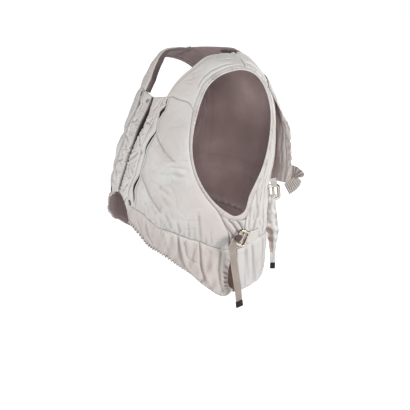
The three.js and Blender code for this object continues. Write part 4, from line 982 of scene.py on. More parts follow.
# ------------------------------------------------------------------ front panels
def front_map():
    def slit(v):
        z = lerp(-60.5, -251.5, v)
        return turn_at(slit_x(z) + 0.9 * gape_x(z), z), z

    def side(v):
        z = lerp(-76.0, -325.0, v)
        return front_side(z), z

    def top(u):
        x = lerp(slit_x(-60.5) + 0.9 * gape_x(-60.5), 115.6, u)
        z = yoke_seam(x) + 0.1
        return turn_at(x, z), z

    def foot(u):
        o = np.zeros_like(u) + 1
        t = lerp(slit(o)[0], side(o)[0], u)
        return t, hem_seam(t) - 0.1

    return patch(top, foot, slit, side)


def bar_tack(bag, g, x, turn, z, t0, z0, slope):
    """A short dense row of stitches that closes an end of a pocket opening."""
    ks = np.linspace(-4.2, 4.2, 17)
    pts, nor = project(g, x, turn, z, t0 + slope * ks, z0 + ks)
    run = unit(pts[-1] - pts[0])
    j = np.linspace(-1, 1, 7)
    for c, n in zip(pts, nor):
        w = unit(np.cross(n, run))
        path = c + np.outer(j * 1.8, w) + np.outer(1.0 * np.sqrt(1.02 - j * j) + 0.5, n)
        v, q, t3 = tube(path, 0.36, 6)
        bag.add(v, q, t3)


def front_panels():
    where = front_map()
    for side, mirror, seed in SIDES:
        g = Grid(lambda u, v: around(*where(u, v)), 108, 190)
        turn, z = where(g.u, g.v)
        found = [line_distance(turn, z, line) for line in QUILT_LINES]
        quilt = np.minimum(*[d + 9 * np.clip((s - 0.6) / 0.4, 0, 1) ** 2 for d, s in found])
        welt = np.abs(g.left - 4.6)
        dents = 0.9 * mottle(g.s, g.t, 15, 34, 30, seed + 1) + 0.35 * mottle(g.s, g.t, 7, 15, -35, seed + 8)
        lump = (2.0 if mirror else 0.5) * mottle(g.s, g.t, 9, 13, 0, seed + 7) * np.exp(-g.left / (30 if mirror else 20))
        target = 5.2 * swell(g.u, g.v) * (1 - 0.8 * np.exp(-((quilt / 9) ** 2)))
        target = target + (dents + lump + soft_folds(turn, z, FRONT_FOLDS)) * swell(g.u, g.v, 0.5)
        roll = np.sqrt(np.maximum(1 - ((g.left - 2.2) / 2.4) ** 2, 0)) * 1.5
        target = np.where(g.left < 4.6, roll, np.minimum(target, 0.2 + 0.6 * welt))
        high = np.minimum(target + 1.8, crease(quilt))
        high = np.minimum(high, np.where(g.left < 4.6, 1.9, crease(welt, 0.2, 0.6)))
        gain_v = 1.015 + 0.07 * np.exp(-g.left / 7) + 0.07 * np.exp(-g.right / 9) + 0.04 * np.exp(-quilt / 8)
        gain_u = 1.015 + 0.10 * np.exp(-g.foot / 18) + 0.03 * np.exp(-g.top / 8) + 0.04 * np.exp(-quilt / 8)
        seedling = (0.5 * ripple(g.s, g.t, 11, 30, 90, 0.3, seed + 2) * np.exp(-g.foot / 26)
                    + 0.35 * ripple(g.s, g.t, 11, 16, 20, 0.3, seed + 3) * np.exp(-g.right / 18)
                    + 0.3 * ripple(g.s, g.t, 9, 14, -10, 0.3, seed + 4) * np.exp(-g.left / 12)
                    + 0.2 * mottle(g.s, g.t, 6, 6, 0, seed + 5))
        start = np.where(g.rim, -1.0, target * 0.7 + seedling)
        start[:, 0] = 0.0
        x = settle(g, gain_u, gain_v, target, -1.2, high, start, hold=0.04)
        edge = np.exp(-g.left / 30) + np.exp(-g.foot / 26) + 0.6 * np.exp(-g.right / 16)
        creased = (0.9 * crumple(g.s, g.t, 14, 1.6, 40, seed + 200) * (0.22 + 0.9 * edge) + 0.8 * crumple(g.s, g.t, 8, 1.3, 80, seed + 230, 0.24) * edge)
        pucker = np.cos(2 * np.pi * (g.s / 6.6 + 0.5 * mottle(g.s, g.t, 22, 300, 0, seed + 240))) * np.exp(-(((g.foot - 4.5) / 5) ** 2)) * np.clip(0.6 + 0.6 * mottle(g.s, g.t, 26, 300, 0, seed + 243), 0.1, 1.2)
        creased = -2.2 * np.tanh(-creased / 2.2) + 0.8 * pucker
        x = x + g.n * ((1.6 if mirror else 1.0) * creased * swell(g.u, g.v, 0.5) * np.clip((g.left - 5) / 5, 0, 1))[..., None]
        inner = g.p - g.n * (2.6 + 3.4 * swell(g.u, g.v) + 0.35 * mottle(g.s, g.t, 9, 9, 0, seed + 6) * swell(g.u, g.v, 1))[..., None]
        # painted shade along the quilting and welt stitching and, on the far side, along the slit edge
        o = shell(f"front_panel_{side}", g, x, inner, [SHELL, LINING], (0.1, 0.1, 0.1, 0.5), 2, (1, 1, 1, 0), mirror=mirror, lines=np.minimum(np.minimum(quilt + 0.35, welt + 0.5), 0.4 * g.left if mirror else 99.0))
        take(o, f"front_panel_{side}")
        bag = sewing[side]
        for line in QUILT_LINES:
            path = smooth_path([(a, b, 0) for a, b in line], 60)
            pts, nor = project(g, x, turn, z, path[:44, 0], path[:44, 1])
            stitch_row(bag, pts, nor, 3.6, 2.5, 0.30, 0.0)
        vs = np.linspace(0.02, 0.985, 240)
        us = np.array([np.interp(4.6, g.s[int(v * 190)], g.u[0]) for v in vs])
        stitch_row(bag, *grid_line(g, x, us, vs), 3.2, 2.3, 0.28, 0.0)
        bar_tack(tacks[side], g, x, turn, z, 16.8, -67.0, 0.0)


FRONT = {}


def project(g, x, turn, z, qt, qz):
    """Points of a cloth nearest to given angles and heights."""
    k = math.radians(150)
    us, vs = [], []
    for a, b in zip(qt, qz):
        d = ((turn - a) * k) ** 2 + (z - b) ** 2
        i, j = np.unravel_index(np.argmin(d), d.shape)
        i, j = min(max(i, 1), d.shape[0] - 2), min(max(j, 1), d.shape[1] - 2)
        # one refinement from the neighbours
        du = np.array([(turn[i, j + 1] - turn[i, j - 1]) * k, z[i, j + 1] - z[i, j - 1]]) / 2
        dv = np.array([(turn[i + 1, j] - turn[i - 1, j]) * k, z[i + 1, j] - z[i - 1, j]]) / 2
        r = np.array([(a - turn[i, j]) * k, b - z[i, j]])
        s = np.linalg.solve(np.stack([du, dv], 1), r)
        us.append((j + np.clip(s[0], -1, 1)) / (d.shape[1] - 1))
        vs.append((i + np.clip(s[1], -1, 1)) / (d.shape[0] - 1))
    return grid_line(g, x, np.clip(us, 0, 1), np.clip(vs, 0, 1))


# ------------------------------------------------------------------ hem band of the front
def hem_panels():
    first, last = HEM_BAND[0][0], HEM_BAND[-1][0]
    cols = 236
    for side, mirror, seed in SIDES:
        def place(u, v):
            t = lerp(first, last - 2.2 * np.clip((v - 0.12) / 0.35, 0, 1) + 3.6 * np.clip((v - 0.70) / 0.30, 0, 1) ** 1.5, u)
            z = lerp(hem_seam(t) + 0.1, hem_foot(t) + 8.0 * np.clip((t - last + 3.2) / 4.6, 0, 1) ** 2, v)
            p = around(t, z)
            if mirror:
                # this front corner hangs open and stands straight off the form
                stop = 33.0
                a, b = around(stop + 0 * t, z), around(stop + 2.5 + 0 * t, z)
                far = np.linalg.norm(p - a, axis=-1)[..., None] * 1.015
                on = unit((a - b) * np.array([1, 1, 0]))
                out = np.stack([-on[..., 1], on[..., 0], 0 * t], -1) * -1.0
                open_ = a + on * far + out * 0.0016 * far ** 2
                share = (np.clip(v / 0.3, 0, 1) ** 1.5 * (t < stop))[..., None]
                p = lerp(p, open_, share)
            return p
        g = Grid(place, cols, 52)
        t = lerp(first, last, g.u)
        z = lerp(hem_seam(t), hem_foot(t), g.v)
        thin = np.clip(g.left / 34, 0.1, 1) if mirror else 1.0 + 0 * g.u
        target = 5.4 * swell(g.u, g.v) * thin
        fold = np.zeros_like(target)
        for top, foot, deep, half in HEM_FOLDS:
            c = (t - lerp(top, foot, g.v)) / (half * (0.65 + 0.7 * g.v))
            along = np.sin(np.pi * np.clip(0.08 + g.v, 0, 1)) ** 0.5
            fold += along * deep * (-6.6 * np.exp(-((c / 0.5) ** 2)) + 3.6 * np.exp(-(((c - 1.0) / 0.75) ** 2)) + 0.8 * np.exp(-(((c + 1.5) / 1.2) ** 2)))
        soft = (1.0 * ripple(g.s, g.t, 24, 60, 84, 0.3, seed + 11) + 0.5 * mottle(g.s, g.t, 8, 14, 20, seed + 18)) * swell(g.u, g.v, 0.6)
        target = np.maximum(target + fold + soft + soft_folds(t, z, HEM_SOFT), -0.8)
        gain_u = 1.02 + 0.10 * np.exp(-g.top / 14) + 0.12 * np.exp(-g.foot / 14)
        gain_v = 1.02 + 0.08 * np.exp(-g.right / 10)
        seedling = (0.5 * ripple(g.s, g.t, 9, 22, 90, 0.3, seed + 12) * np.exp(-g.top / 16)
                    + 0.6 * ripple(g.s, g.t, 7, 24, 88, 0.2, seed + 13) * np.exp(-g.foot / 14)
                    + 0.4 * ripple(g.s, g.t, 7, 14, 10, 0.2, seed + 14) * np.exp(-g.right / 10))
        start = np.where(g.rim, 0.0, target * 0.7 + seedling)
        start[0] = -1.0
        x = settle(g, gain_u, gain_v, target, -1.4, target + 2.0, start, hold=0.04)
        creased = 1.0 * crumple(g.s, g.t, 14, 1.5, 78, seed + 260) + 0.8 * crumple(g.s, g.t, 7, 1.5, 86, seed + 290, 0.24) * (np.exp(-g.top / 14) + np.exp(-g.foot / 16))
        pucker = np.cos(2 * np.pi * (g.s / 6.6 + 0.5 * mottle(g.s, g.t, 22, 300, 0, seed + 295))) * np.exp(-(((g.top - 4.5) / 5) ** 2)) * np.clip(0.6 + 0.6 * mottle(g.s, g.t, 26, 300, 0, seed + 297), 0.1, 1.2)
        creased = (-2.2 * np.tanh(-creased / 2.2) + 0.8 * pucker) * thin
        x = x + g.n * (creased * swell(g.u, g.v, 0.5))[..., None]
        # gathered hem: small even puckers in the casing, fading towards the side
        reach = np.clip((57 - t) / 9, 0.10, 1) * np.clip((t - first) / 3, 0, 1)
        beat = np.cos(2 * np.pi * (g.s / 5.8 + 0.30 * mottle(g.s, g.t, 18, 400, 0, seed + 15)) + 0.12 * g.foot)
        casing = np.exp(-((g.foot - 4.0) / 5.0) ** 2)
        x = x + g.n * ((1.7 * beat + 0.6) * casing * reach)[..., None]
        x[..., 2] -= 1.9 * beat * np.exp(-g.foot / 3.0) * reach
        # gathered side edge
        low = np.clip((g.v - 0.10) / 0.25, 0, 1) * np.clip((0.985 - g.v) / 0.05, 0, 1)
        beat2 = np.cos(2 * np.pi * (g.t / 8.2 + 0.5 * mottle(g.s, g.t, 40, 14, 0, seed + 16) + g.right / 20)) * (0.65 + 0.35 * np.clip(mottle(g.s, g.t, 60, 12, 0, seed + 19), -1, 1))
        rim2 = low * np.exp(-((g.right - 4) / 7.0) ** 2)
        x = x + g.n * (2.0 * beat2 * rim2)[..., None]
        x[..., 1] -= 1.4 * beat2 * low * np.exp(-g.right / 4.0)
        # painted shade along the casing's line of stitching
        line = np.minimum(np.abs(g.foot - 9.5) + np.where(reach > 0.3, 0, 9), 99)
        inner = g.p - g.n * ((2.4 + 3.4 * swell(g.u, g.v) + 0.5 * ripple(g.s, g.t, 20, 40, 84, 0.3, seed + 17) * swell(g.u, g.v, 1)) * lerp(0.4, 1, thin))[..., None]
        inner = inner + (x - g.p) * (np.exp(-np.minimum(g.foot, g.right) / 3.0) * (g.top > 4))[..., None]
        # painted shade in the hollows of the gathers at the hem and the side edge, and a faint band of it along the
        # whole casing
        low_mark = np.clip(hollow_of(g.height(x)) + (2.6 * np.maximum(-beat, 0) + 0.35) * casing * reach + 2.0 * np.maximum(-beat2, 0) * rim2, -1, 3)
        o = shell(f"hem_panel_{side}", g, x, inner, [HEM, LINING], (0.1, 0.8, 0.8, 0.6), 2, (1, 0, 0, 0), low_mark, mirror, line + 0.4)
        take(o, f"hem_panel_{side}")
        us = np.linspace(0.03, 0.62, 260)
        k = [np.interp(g.t[-1, int(u * cols)] - 9.5, g.t[:, int(u * cols)], g.v[:, 0]) for u in us]
        stitch_row(sewing[side], *grid_line(g, x, us, np.array(k)), 3.2, 2.2, 0.28, 0.0)


# ------------------------------------------------------------------ plackets, pocket bands
def plackets():
    e = PLACKET_ENDS
    for side, mirror, seed in SIDES:
        def where(u, v):
            low = -238.5 - (14.5 * u ** 2 if mirror else 27.5 * u ** 2.3)
            z = lerp(lerp(e["top_in"], e["top_out"], u), low, v)
            return turn_at(lerp(gap_x(z) + 0.5 + (0.2 if mirror else 1.3) * open_front(z), placket_x(z) - 0.1, u), z), z
        g = Grid(lambda u, v: around(*where(u, v)), 48, 220)
        turn, z = where(g.u, g.v)
        wild = 1.7 if mirror else 1.25
        folds = soft_folds(turn, z, FAR_PLACKET_FOLDS if mirror else NEAR_PLACKET_FOLDS)
        target = (6.2 if mirror else 4.4) * swell(g.u, g.v, 0.42) + wild * (0.9 * mottle(g.s, g.t, 9, 16, 0, seed + 26) + 0.5 * mottle(g.s, g.t, 5, 7, 35, seed + 28)) * swell(g.u, g.v, 1) + folds * swell(g.u, g.v, 0.3)
        if mirror:
            target = target + 2.8 * np.exp(-(((g.right - 6.5) / 3.6) ** 2)) * swell(g.u, g.v, 0.3)
        rough = 0.5 + 0.5 * np.clip(mottle(g.s, g.t, 12, 20, 0, seed + 21), -1, 1)
        gain_v = 1.02 + wild * (0.05 * rough + 0.06 * np.exp(-g.left / 5) + 0.06 * np.exp(-g.right / 4))
        gain_u = 1.02 + 0.05 * rough
        rim = np.exp(-g.left / 7) + np.exp(-g.right / 6)
        seedling = (0.45 * ripple(g.s, g.t, 10, 9, 14, 0.45, seed + 22) * (0.3 + rim) + 0.5 * ripple(g.s, g.t, 12, 13, -38, 0.4, seed + 23)
                    + 0.15 * mottle(g.s, g.t, 3, 3, 0, seed + 24))
        start = np.where(g.rim, -0.9, target * 0.7 + seedling)
        start[:, 0] = 0.25 * ripple(g.s, g.t, 8, 40, 0, 0.3, seed + 25)[:, 0]
        x = settle(g, gain_u, gain_v, target, -1.0, target + 2.4, start, bend=0.35, stiff=0.08, hold=0.04, slide=3.0)
        creased = 2.2 * crumple(g.s, g.t, 13, 1.9, 62, seed + 310, 0.3) + 0.9 * crumple(g.s, g.t, 8, 1.6, -38, seed + 340, 0.3)
        x = x + g.n * (-2.4 * np.tanh(-wild * creased / 2.4) * swell(g.u, g.v, 0.4))[..., None]
        # small tucks along the edge of the opening
        beat = np.cos(2 * np.pi * (g.t / 6.4 + 0.9 * mottle(g.s, g.t, 200, 12, 0, seed + 27)))
        tuck = np.exp(-((g.left - 1.5) / 3.0) ** 2)
        lower = np.clip((g.v - 0.35) / 0.2, 0.12, 1) * np.clip(0.5 + 0.8 * mottle(g.s, g.t, 60, 14, 0, seed + 29), 0, 1.2)
        x = x + g.n * (0.8 * beat * tuck * lower)[..., None]
        x[..., 0] -= 0.6 * beat * np.exp(-g.left / 2.0) * lower
        inner = g.p - g.n * (2.6 + 1.4 * swell(g.u, g.v, 0.3))[..., None]
        # painted shade in the tucks along the edge of the opening
        low = np.clip(hollow_of(g.height(x)) + 1.0 * np.maximum(-beat, 0) * tuck * lower, -1, 2)
        # the far placket's opening edge is marked as sewn, so it gets painted shade along it
        o = shell(f"placket_{side}", g, x, inner, [RUCHED, LINING], (0.6, 0.1, 0.6, 0.3), 2, (0, 1, 0, 1 if mirror else 0), low, mirror)
        take(o, f"placket_{side}")
        vs = np.linspace(0.01, 0.99, 300)
        us = np.array([np.interp(3.2, g.s[int(v * 220)], g.u[0]) for v in vs])
        stitch_row(sewing[side], *grid_line(g, x, us, vs), 3.2, 2.3, 0.26, 0.0)
        PLACKET[side] = (g, x)


PLACKET = {}


def pocket_bands():
    for side, mirror, seed in SIDES:
        def where(u, v):
            z = lerp(WELT_ENDS["top"], WELT_ENDS["bottom"], v)
            return turn_at(lerp(placket_x(z) + 0.1, slit_x(z) - 0.7 * gape_x(z), u), z), z
        g = Grid(lambda u, v: around(*where(u, v)), 20, 190)
        target = 2.8 * swell(g.u, g.v, 0.42) + 0.5 * mottle(g.s, g.t, 6, 14, 20, seed + 34) * swell(g.u, g.v, 1)
        gain_v = 1.05 + 0.06 * np.exp(-g.left / 4) + 0.04 * np.clip(mottle(g.s, g.t, 9, 18, 0, seed + 31), -1, 1)
        seedling = 0.4 * ripple(g.s, g.t, 9, 12, 20, 0.3, seed + 32) + 0.3 * ripple(g.s, g.t, 12, 12, -25, 0.3, seed + 33)
        start = np.where(g.rim, -0.9, target * 0.7 + seedling)
        start[:, -1] = 0.1
        x = settle(g, 1.02, gain_v, target, -1.0, target + 1.8, start, bend=0.35, stiff=0.08, hold=0.04, slide=3.0)
        creased = 1.7 * crumple(g.s, g.t, 11, 1.8, 62, seed + 370, 0.3) + 0.7 * crumple(g.s, g.t, 7, 1.4, -35, seed + 380, 0.3)
        x = x + g.n * (-2.0 * np.tanh(-creased / 2.0) * swell(g.u, g.v, 0.4))[..., None]
        inner = g.p - g.n * 2.3
        # painted shade along the seam with the placket, wider on the far side
        o = shell(f"pocket_band_{side}", g, x, inner, [RUCHED, LINING], (0.3, 0.5, 0.3, 0.1), 2, (1, 0, 0, 1), mirror=mirror, lines=(0.22 if mirror else 0.40) * g.left)
        take(o, f"pocket_band_{side}")
        bar_tack(tacks[side], g, x, *where(g.u, g.v), 14.6, -244.5, -0.16)


# ------------------------------------------------------------------ zip tapes
def zip_piece(name, node, centre, half, deep, top, foot, mirror=False):
    """A woven tape under an opening, with a coil of teeth along its middle."""
    def place(u, v):
        z = lerp(top, foot, v)
        return around(turn_at(centre(z) + lerp(-half, half, u), z), z)
    g = Grid(place, 12, 96)
    sag = 0.25 * mottle(g.s, g.t, 7, 12, 0, 71)
    outer = g.p - g.n * (deep - sag)[..., None]
    inner = outer - g.n * 1.1
    o = shell(name, g, outer, inner, [TAPE], (0.5, 0.5, 0.5, 0.5), 1, (0, 0, 0, 0), painted_shading=0 * g.u, mirror=mirror)
    take(o, node)
    bag = Bag()
    mid, nor = grid_line(g, outer, np.full(400, 0.5), np.linspace(0.01, 0.99, 400))
    s = np.concatenate([[0], np.cumsum(np.linalg.norm(np.diff(mid, axis=0), axis=1))])
    count = int(s[-1] / 1.9)
    for k in range(count):
        q = (k + 0.5) * 1.9
        c = np.array([np.interp(q, s, mid[:, i]) for i in range(3)])
        n = unit(np.array([np.interp(q, s, nor[:, i]) for i in range(3)]))
        t = unit(np.array([np.interp(q + 0.6, s, mid[:, i]) - np.interp(q - 0.6, s, mid[:, i]) for i in range(3)]))
        w = np.cross(t, n)
        for way in (-1, 1):
            shift = t * (0.45 * way)
            path = np.array([c + shift + w * way * 2.0 - n * 0.1, c + shift + w * way * 1.9 + n * 0.75, c + shift + w * way * 0.5 + n * 1.1, c + shift - w * way * 0.7 + n * 1.0])
            v, quads, tris = tube(path, 0.38, 6)
            bag.add(v, quads, tris)
    teeth = bag.object(name + "_teeth", [TEETH], mirror)
    take(teeth, None)


def zips():
    top, foot = WELT_ENDS["top"] - 0.4, WELT_ENDS["bottom"] + 6
    for side, mirror, seed in SIDES:
        zip_piece(f"pocket_zip_{side}", f"pocket_zip_{side}", lambda z: slit_x(z), ZIP_TAPE["half"], ZIP_TAPE["deep"], top, foot, mirror)
    zip_piece("front_zip", "front_zip", lambda z: 0 * z, FRONT_ZIP["half"], FRONT_ZIP["deep"], FRONT_ZIP["top"], FRONT_ZIP["bottom"])


# ------------------------------------------------------------------ yokes
def yokes():
    neck, arm = track(YOKE, 0, 1), track(YOKE, 0, 2)
    first, last = YOKE[0][0], YOKE[-1][0]

    def place(u, v, wider=0.0):
        level = lerp(first, last, v)
        p = over_shoulder(lerp(neck(level) - wider * np.clip((0.64 - v) / 0.3, 0, 1) * np.clip(v / 0.14, 0, 1), arm(level), u), lerp(yoke_front(u), last, v))
        # the neck edge sinks a little over the shoulder
        p[..., 2] -= 4.5 * np.clip((v - 0.55) / 0.2, 0, 1) * np.clip((1 - v) / 0.06, 0, 1) * np.exp(-((u / 0.35) ** 2))
        return p

    for side, mirror, seed in SIDES:
        # the right yoke rolls towards the neck and shows its lining there, drawn in a darker copy of the lining that
        # paints the shade at the neck
        g = Grid(lambda u, v: place(u, v, 11.0 if mirror else 0.0), 64, 136)
        hem = np.abs(g.left - 6.5)
        wild = 1.8 if mirror else 1.0
        soft = wild * (0.6 * mottle(g.s, g.t, 14, 36, 0, seed + 41) + 0.35 * mottle(g.s, g.t, 7, 12, 20, seed + 45))
        lines = sum(-a * np.exp(-(((g.u - c - 0.10 * (g.v - 0.8)) / 0.035) ** 2)) * np.clip((g.v - lo) / 0.12, 0, 1) for c, lo, a in ((0.28, 0.66, 1.3), (0.46, 0.74, 1.1), (0.63, 0.62, 1.2), (0.80, 0.7, 0.9)))
        pull = np.abs(g.right - 6.5 - 2.0 * np.sin(5 * g.v))
        lines = 1.4 * lines - 2.4 * np.exp(-((pull / 1.5) ** 2)) * np.clip((g.v - 0.12) / 0.1, 0, 1)
        target = 4.0 * swell(g.u, g.v) + (soft + lines) * swell(g.u, g.v, 0.5)
        target = np.where(g.left < 6.5, np.minimum(target, 1.3), target)
        high = np.minimum(target + 2.0, crease(hem, 0.7, 0.5))
        gain_v = 1.015 + 0.06 * np.exp(-g.right / 8) + 0.02 * np.exp(-g.left / 6)
        gain_u = 1.02 + 0.07 * np.exp(-g.foot / 14) + 0.03 * np.exp(-g.top / 8)
        seedling = (0.35 * ripple(g.s, g.t, 10, 18, 90, 0.3, seed + 42) * np.exp(-g.foot / 14) + 0.3 * ripple(g.s, g.t, 10, 14, 0, 0.3, seed + 43) * np.exp(-g.right / 10)
                    + 0.15 * mottle(g.s, g.t, 6, 6, 0, seed + 44))
        start = np.where(g.rim, -0.9, target * 0.7 + seedling)
        start[:, 0] = 0.0
        x = settle(g, gain_u, gain_v, target, -1.2, high, start, hold=0.04)
        creased = 0.9 * crumple(g.s, g.t, 14, 1.7, 70, seed + 400) * (0.4 + np.exp(-g.right / 18) + np.exp(-g.foot / 20)) + 0.4 * crumple(g.s, g.t, 7, 1.4, 20, seed + 430, 0.24)
        x = x + g.n * (wild * creased * swell(g.u, g.v, 0.5))[..., None]
        roll = (7.0 if mirror else 0.0) * np.exp(-g.left / 9) * np.clip((0.66 - g.v) / 0.3, 0, 1)
        inner = g.p - g.n * (2.4 + 2.6 * swell(g.u, g.v) + 3.6 * np.exp(-g.left / 8) + roll)[..., None]
        # painted shade along the crease beside the armhole edge
        o = shell(f"yoke_{side}", g, x, inner, [SHELL, SHADED_YOKE_LINING if mirror else LINING], (0.1, 0.1, 0.1, 0.4), 3, (1, 1, 1, 0), mirror=mirror, lines=pull + 0.35 + 9 * np.clip((0.2 - g.v) / 0.1, 0, 1) + 9 * np.clip((g.v - 0.8) / 0.1, 0, 1), turn_in=1 if mirror else None)
        take(o, f"yoke_{side}")
        vs = np.linspace(0.01, 0.99, 240)
        us = np.array([np.interp(6.5, g.s[int(v * 136)], g.u[0]) for v in vs])
        stitch_row(sewing[side], *grid_line(g, x, us, vs), 3.3, 2.3, 0.28, 0.0)


# ------------------------------------------------------------------ back
def half_turn(turn):
    return np.where(turn > 180, 360 - turn, turn)


def back_map():
    side_turn, top_z, foot_z = track(BACK_SIDE, 0, 1), track(BACK_TOP, 0, 1), track(BACK_FOOT, 0, 1)
    z0, z1 = BACK_TOP[0][1], BACK_FOOT[0][1]

    def left(v):
        z = lerp(z0, z1, v)
        return side_turn(z), z

    def right(v):
        t, z = left(v)
        return 360 - t, z

    def top(u):
        t = lerp(BACK_TOP[0][0], 360 - BACK_TOP[0][0], u)
        return t, top_z(half_turn(t))

    def foot(u):
        t = lerp(BACK_FOOT[0][0], 360 - BACK_FOOT[0][0], u)
        return t, foot_z(half_turn(t))

    return patch(top, foot, left, right)


def back_panel():
    where = back_map()

    def place(u, v):
        turn, z = where(u, v)
        p = around(turn, z)
        # drawn in a little where the hanging strap is fixed
        drawn = 6.0 * np.exp(-(((half_turn(turn) - 127) / 15) ** 2)) * np.exp(-(((z + 232) / 46) ** 2))
        p[..., :2] *= (1 - drawn / np.linalg.norm(p[..., :2], axis=-1))[..., None]
        return p

    nu, nv = 164, 138
    g = Grid(place, nu, nv)
    turn, z = where(g.u, g.v)
    side = np.minimum(g.left, g.right)
    covered = np.clip((np.minimum(turn - 126, 234 - turn)) / 8, 0, 1) * np.clip((z + 240) / 20, 0, 1)
    limit = lerp(5.4, 1.0, covered)
    folds = 2.0 * ripple(g.s, g.t, 30, 90, 84, 0.5, 61) + 1.2 * ripple(g.s, g.t, 17, 40, 74, 0.5, 62) + soft_folds(half_turn(turn), z, BACK_FOLDS)
    fade = np.clip(g.top / 60, 0, 1) * np.clip(g.foot / 8, 0, 1) * np.clip(side / 5, 0, 1)
    target = np.clip(folds * fade, -limit, limit)
    gain_u = 1.015 + 0.035 * np.exp(-((side / 85) ** 2)) + 0.07 * np.exp(-g.foot / 22)
    gain_v = 1.015 + 0.08 * np.exp(-side / 9)
    seedling = 0.5 * ripple(g.s, g.t, 12, 30, 84, 0.3, 63) * np.exp(-g.foot / 26) + 0.4 * ripple(g.s, g.t, 10, 16, 0, 0.3, 64) * np.exp(-side / 14)
    start = np.where(g.rim, -0.5, target * 0.8 + seedling)
    start[0] = 0.0
    x = settle(g, gain_u, gain_v, target, -limit - 0.4, limit + 0.4, start, hold=0.04, stiff=0.1, steps=int(STEPS * 0.6))
    creased = 1.6 * crumple(g.s, g.t, 14, 2.2, 80, 460) + 0.9 * crumple(g.s, g.t, 9, 1.6, 55, 480, 0.24)
    x = x + g.n * (-2.2 * np.tanh(-creased / 2.2) * swell(g.u, g.v, 0.4) * lerp(1, 0.25, covered))[..., None]
    # the lining hangs smoother than the outer cloth
    sway = 0.5 * mottle(g.s, g.t, 22, 60, 84, 65) * np.clip(g.edge / 20, 0, 1)
    inner = lerp(x, g.p, np.clip(g.edge / 12, 0, 1)[..., None]) - g.n * (lerp(1.3, limit + 2.4, np.clip(g.edge / 12, 0, 1)) - sway)[..., None]
    o = shell("back_panel", g, x, inner, [THIN, LINING], (0.8, 0.2, 0.2, 0.2), 1, (0, 1, 1, 1))
    take(o, "back_panel")
    us = np.linspace(0.16, 0.84, 300)
    vs = np.array([np.interp(6.0, g.t[:, int(u * nu)], g.v[:, 0]) for u in us])
    stitch_row(sewing["middle"], *grid_line(g, x, us, vs), 3.3, 2.3, 0.28, 0.0)


def back_waist():
    seam, hem, foot = track(BACK_BAND, 0, 1), track(BACK_BAND, 0, 2), track(BACK_FOOT, 0, 1)
    first = BACK_BAND[0][0]
    start_at = first - 7.5

    def place(u, v):
        t = lerp(start_at, 360 - start_at, u)
        h = half_turn(t)
        top = np.maximum(seam(h) + 1.2, np.where(h > 96, foot(h) + 0.3, -999))
        tuck = np.clip((first - h) / 3.0, 0, 1)
        p = around(t, lerp(top - 4 * tuck, hem(h) + 5 * tuck, v))
        # the ends slip under the sides of the front
        p[..., 0] -= np.sign(p[..., 0]) * 9.0 * tuck ** 2 * (3 - 2 * tuck)
        return p

    g = Grid(place, 216, 48)
    h = half_turn(lerp(start_at, 360 - start_at, g.u))
    soft = 1.3 * ripple(g.s, g.t, 30, 90, 88, 0.35, 71) + 0.8 * ripple(g.s, g.t, 15, 50, 86, 0.3, 72)
    target = 5.0 * swell(g.u, g.v, 0.3) + soft * swell(g.u, g.v, 0.5)
    target = target * np.clip((h - first + 4) / 6, 0.15, 1)
    side = np.minimum(g.left, g.right)
    gain_u = 1.02 + 0.08 * np.exp(-g.top / 14) + 0.06 * np.exp(-g.foot / 12)
    gain_v = 1.015 + 0.04 * np.exp(-side / 8)
    seedling = 0.4 * ripple(g.s, g.t, 11, 26, 88, 0.3, 73) * (np.exp(-g.top / 18) + np.exp(-g.foot / 16))
    start = np.where(g.rim, 0.0, target * 0.7 + seedling)
    start[0] = -1.0
    x = settle(g, gain_u, gain_v, target, -1.2, target + 2.0, start, hold=0.04, steps=int(STEPS * 0.6))
    x = x + g.n * (1.1 * crumple(g.s, g.t, 14, 1.6, 80, 490) * swell(g.u, g.v, 0.5))[..., None]
    inner = g.p - g.n * (2.4 + 3.2 * swell(g.u, g.v) * np.clip((h - first + 4) / 6, 0.1, 1))[..., None]
    # the ends slipped under the front show the lining in its darker copy, painted shade for the side slit
    o = shell("back_waist_panel", g, x, inner, [SHELL, LINING, SHADED_LINING], (0.1, 0.8, 0.8, 0.8), 2, (1, 0, 0, 0), under=h < first + 0.3)
    take(o, "back_waist_panel")
    us = np.linspace(0.05, 0.95, 500)
    vs = np.array([np.interp(g.t[-1, int(u * 216)] - 7.0, g.t[:, int(u * 216)], g.v[:, 0]) for u in us])
    stitch_row(sewing["middle"], *grid_line(g, x, us, vs), 3.3, 2.3, 0.28, 0.0)


def underarm_place(u, v):
    c = [track(UNDERARM, 0, k) for k in range(1, 5)]
    turn = lerp(c[0](v) - 0.6, c[2](v) + 0.6, u)
    z = lerp(c[1](v), c[3](v), u) - UNDERARM_SAG * np.sin(np.pi * u) * (1 - v)
    return turn, z


def underarm_spot(u, v):
    p = around(*underarm_place(u, v))
    p[..., 0] -= 5.0 * np.clip((v - 0.78) / 0.18, 0, 1)
    return p


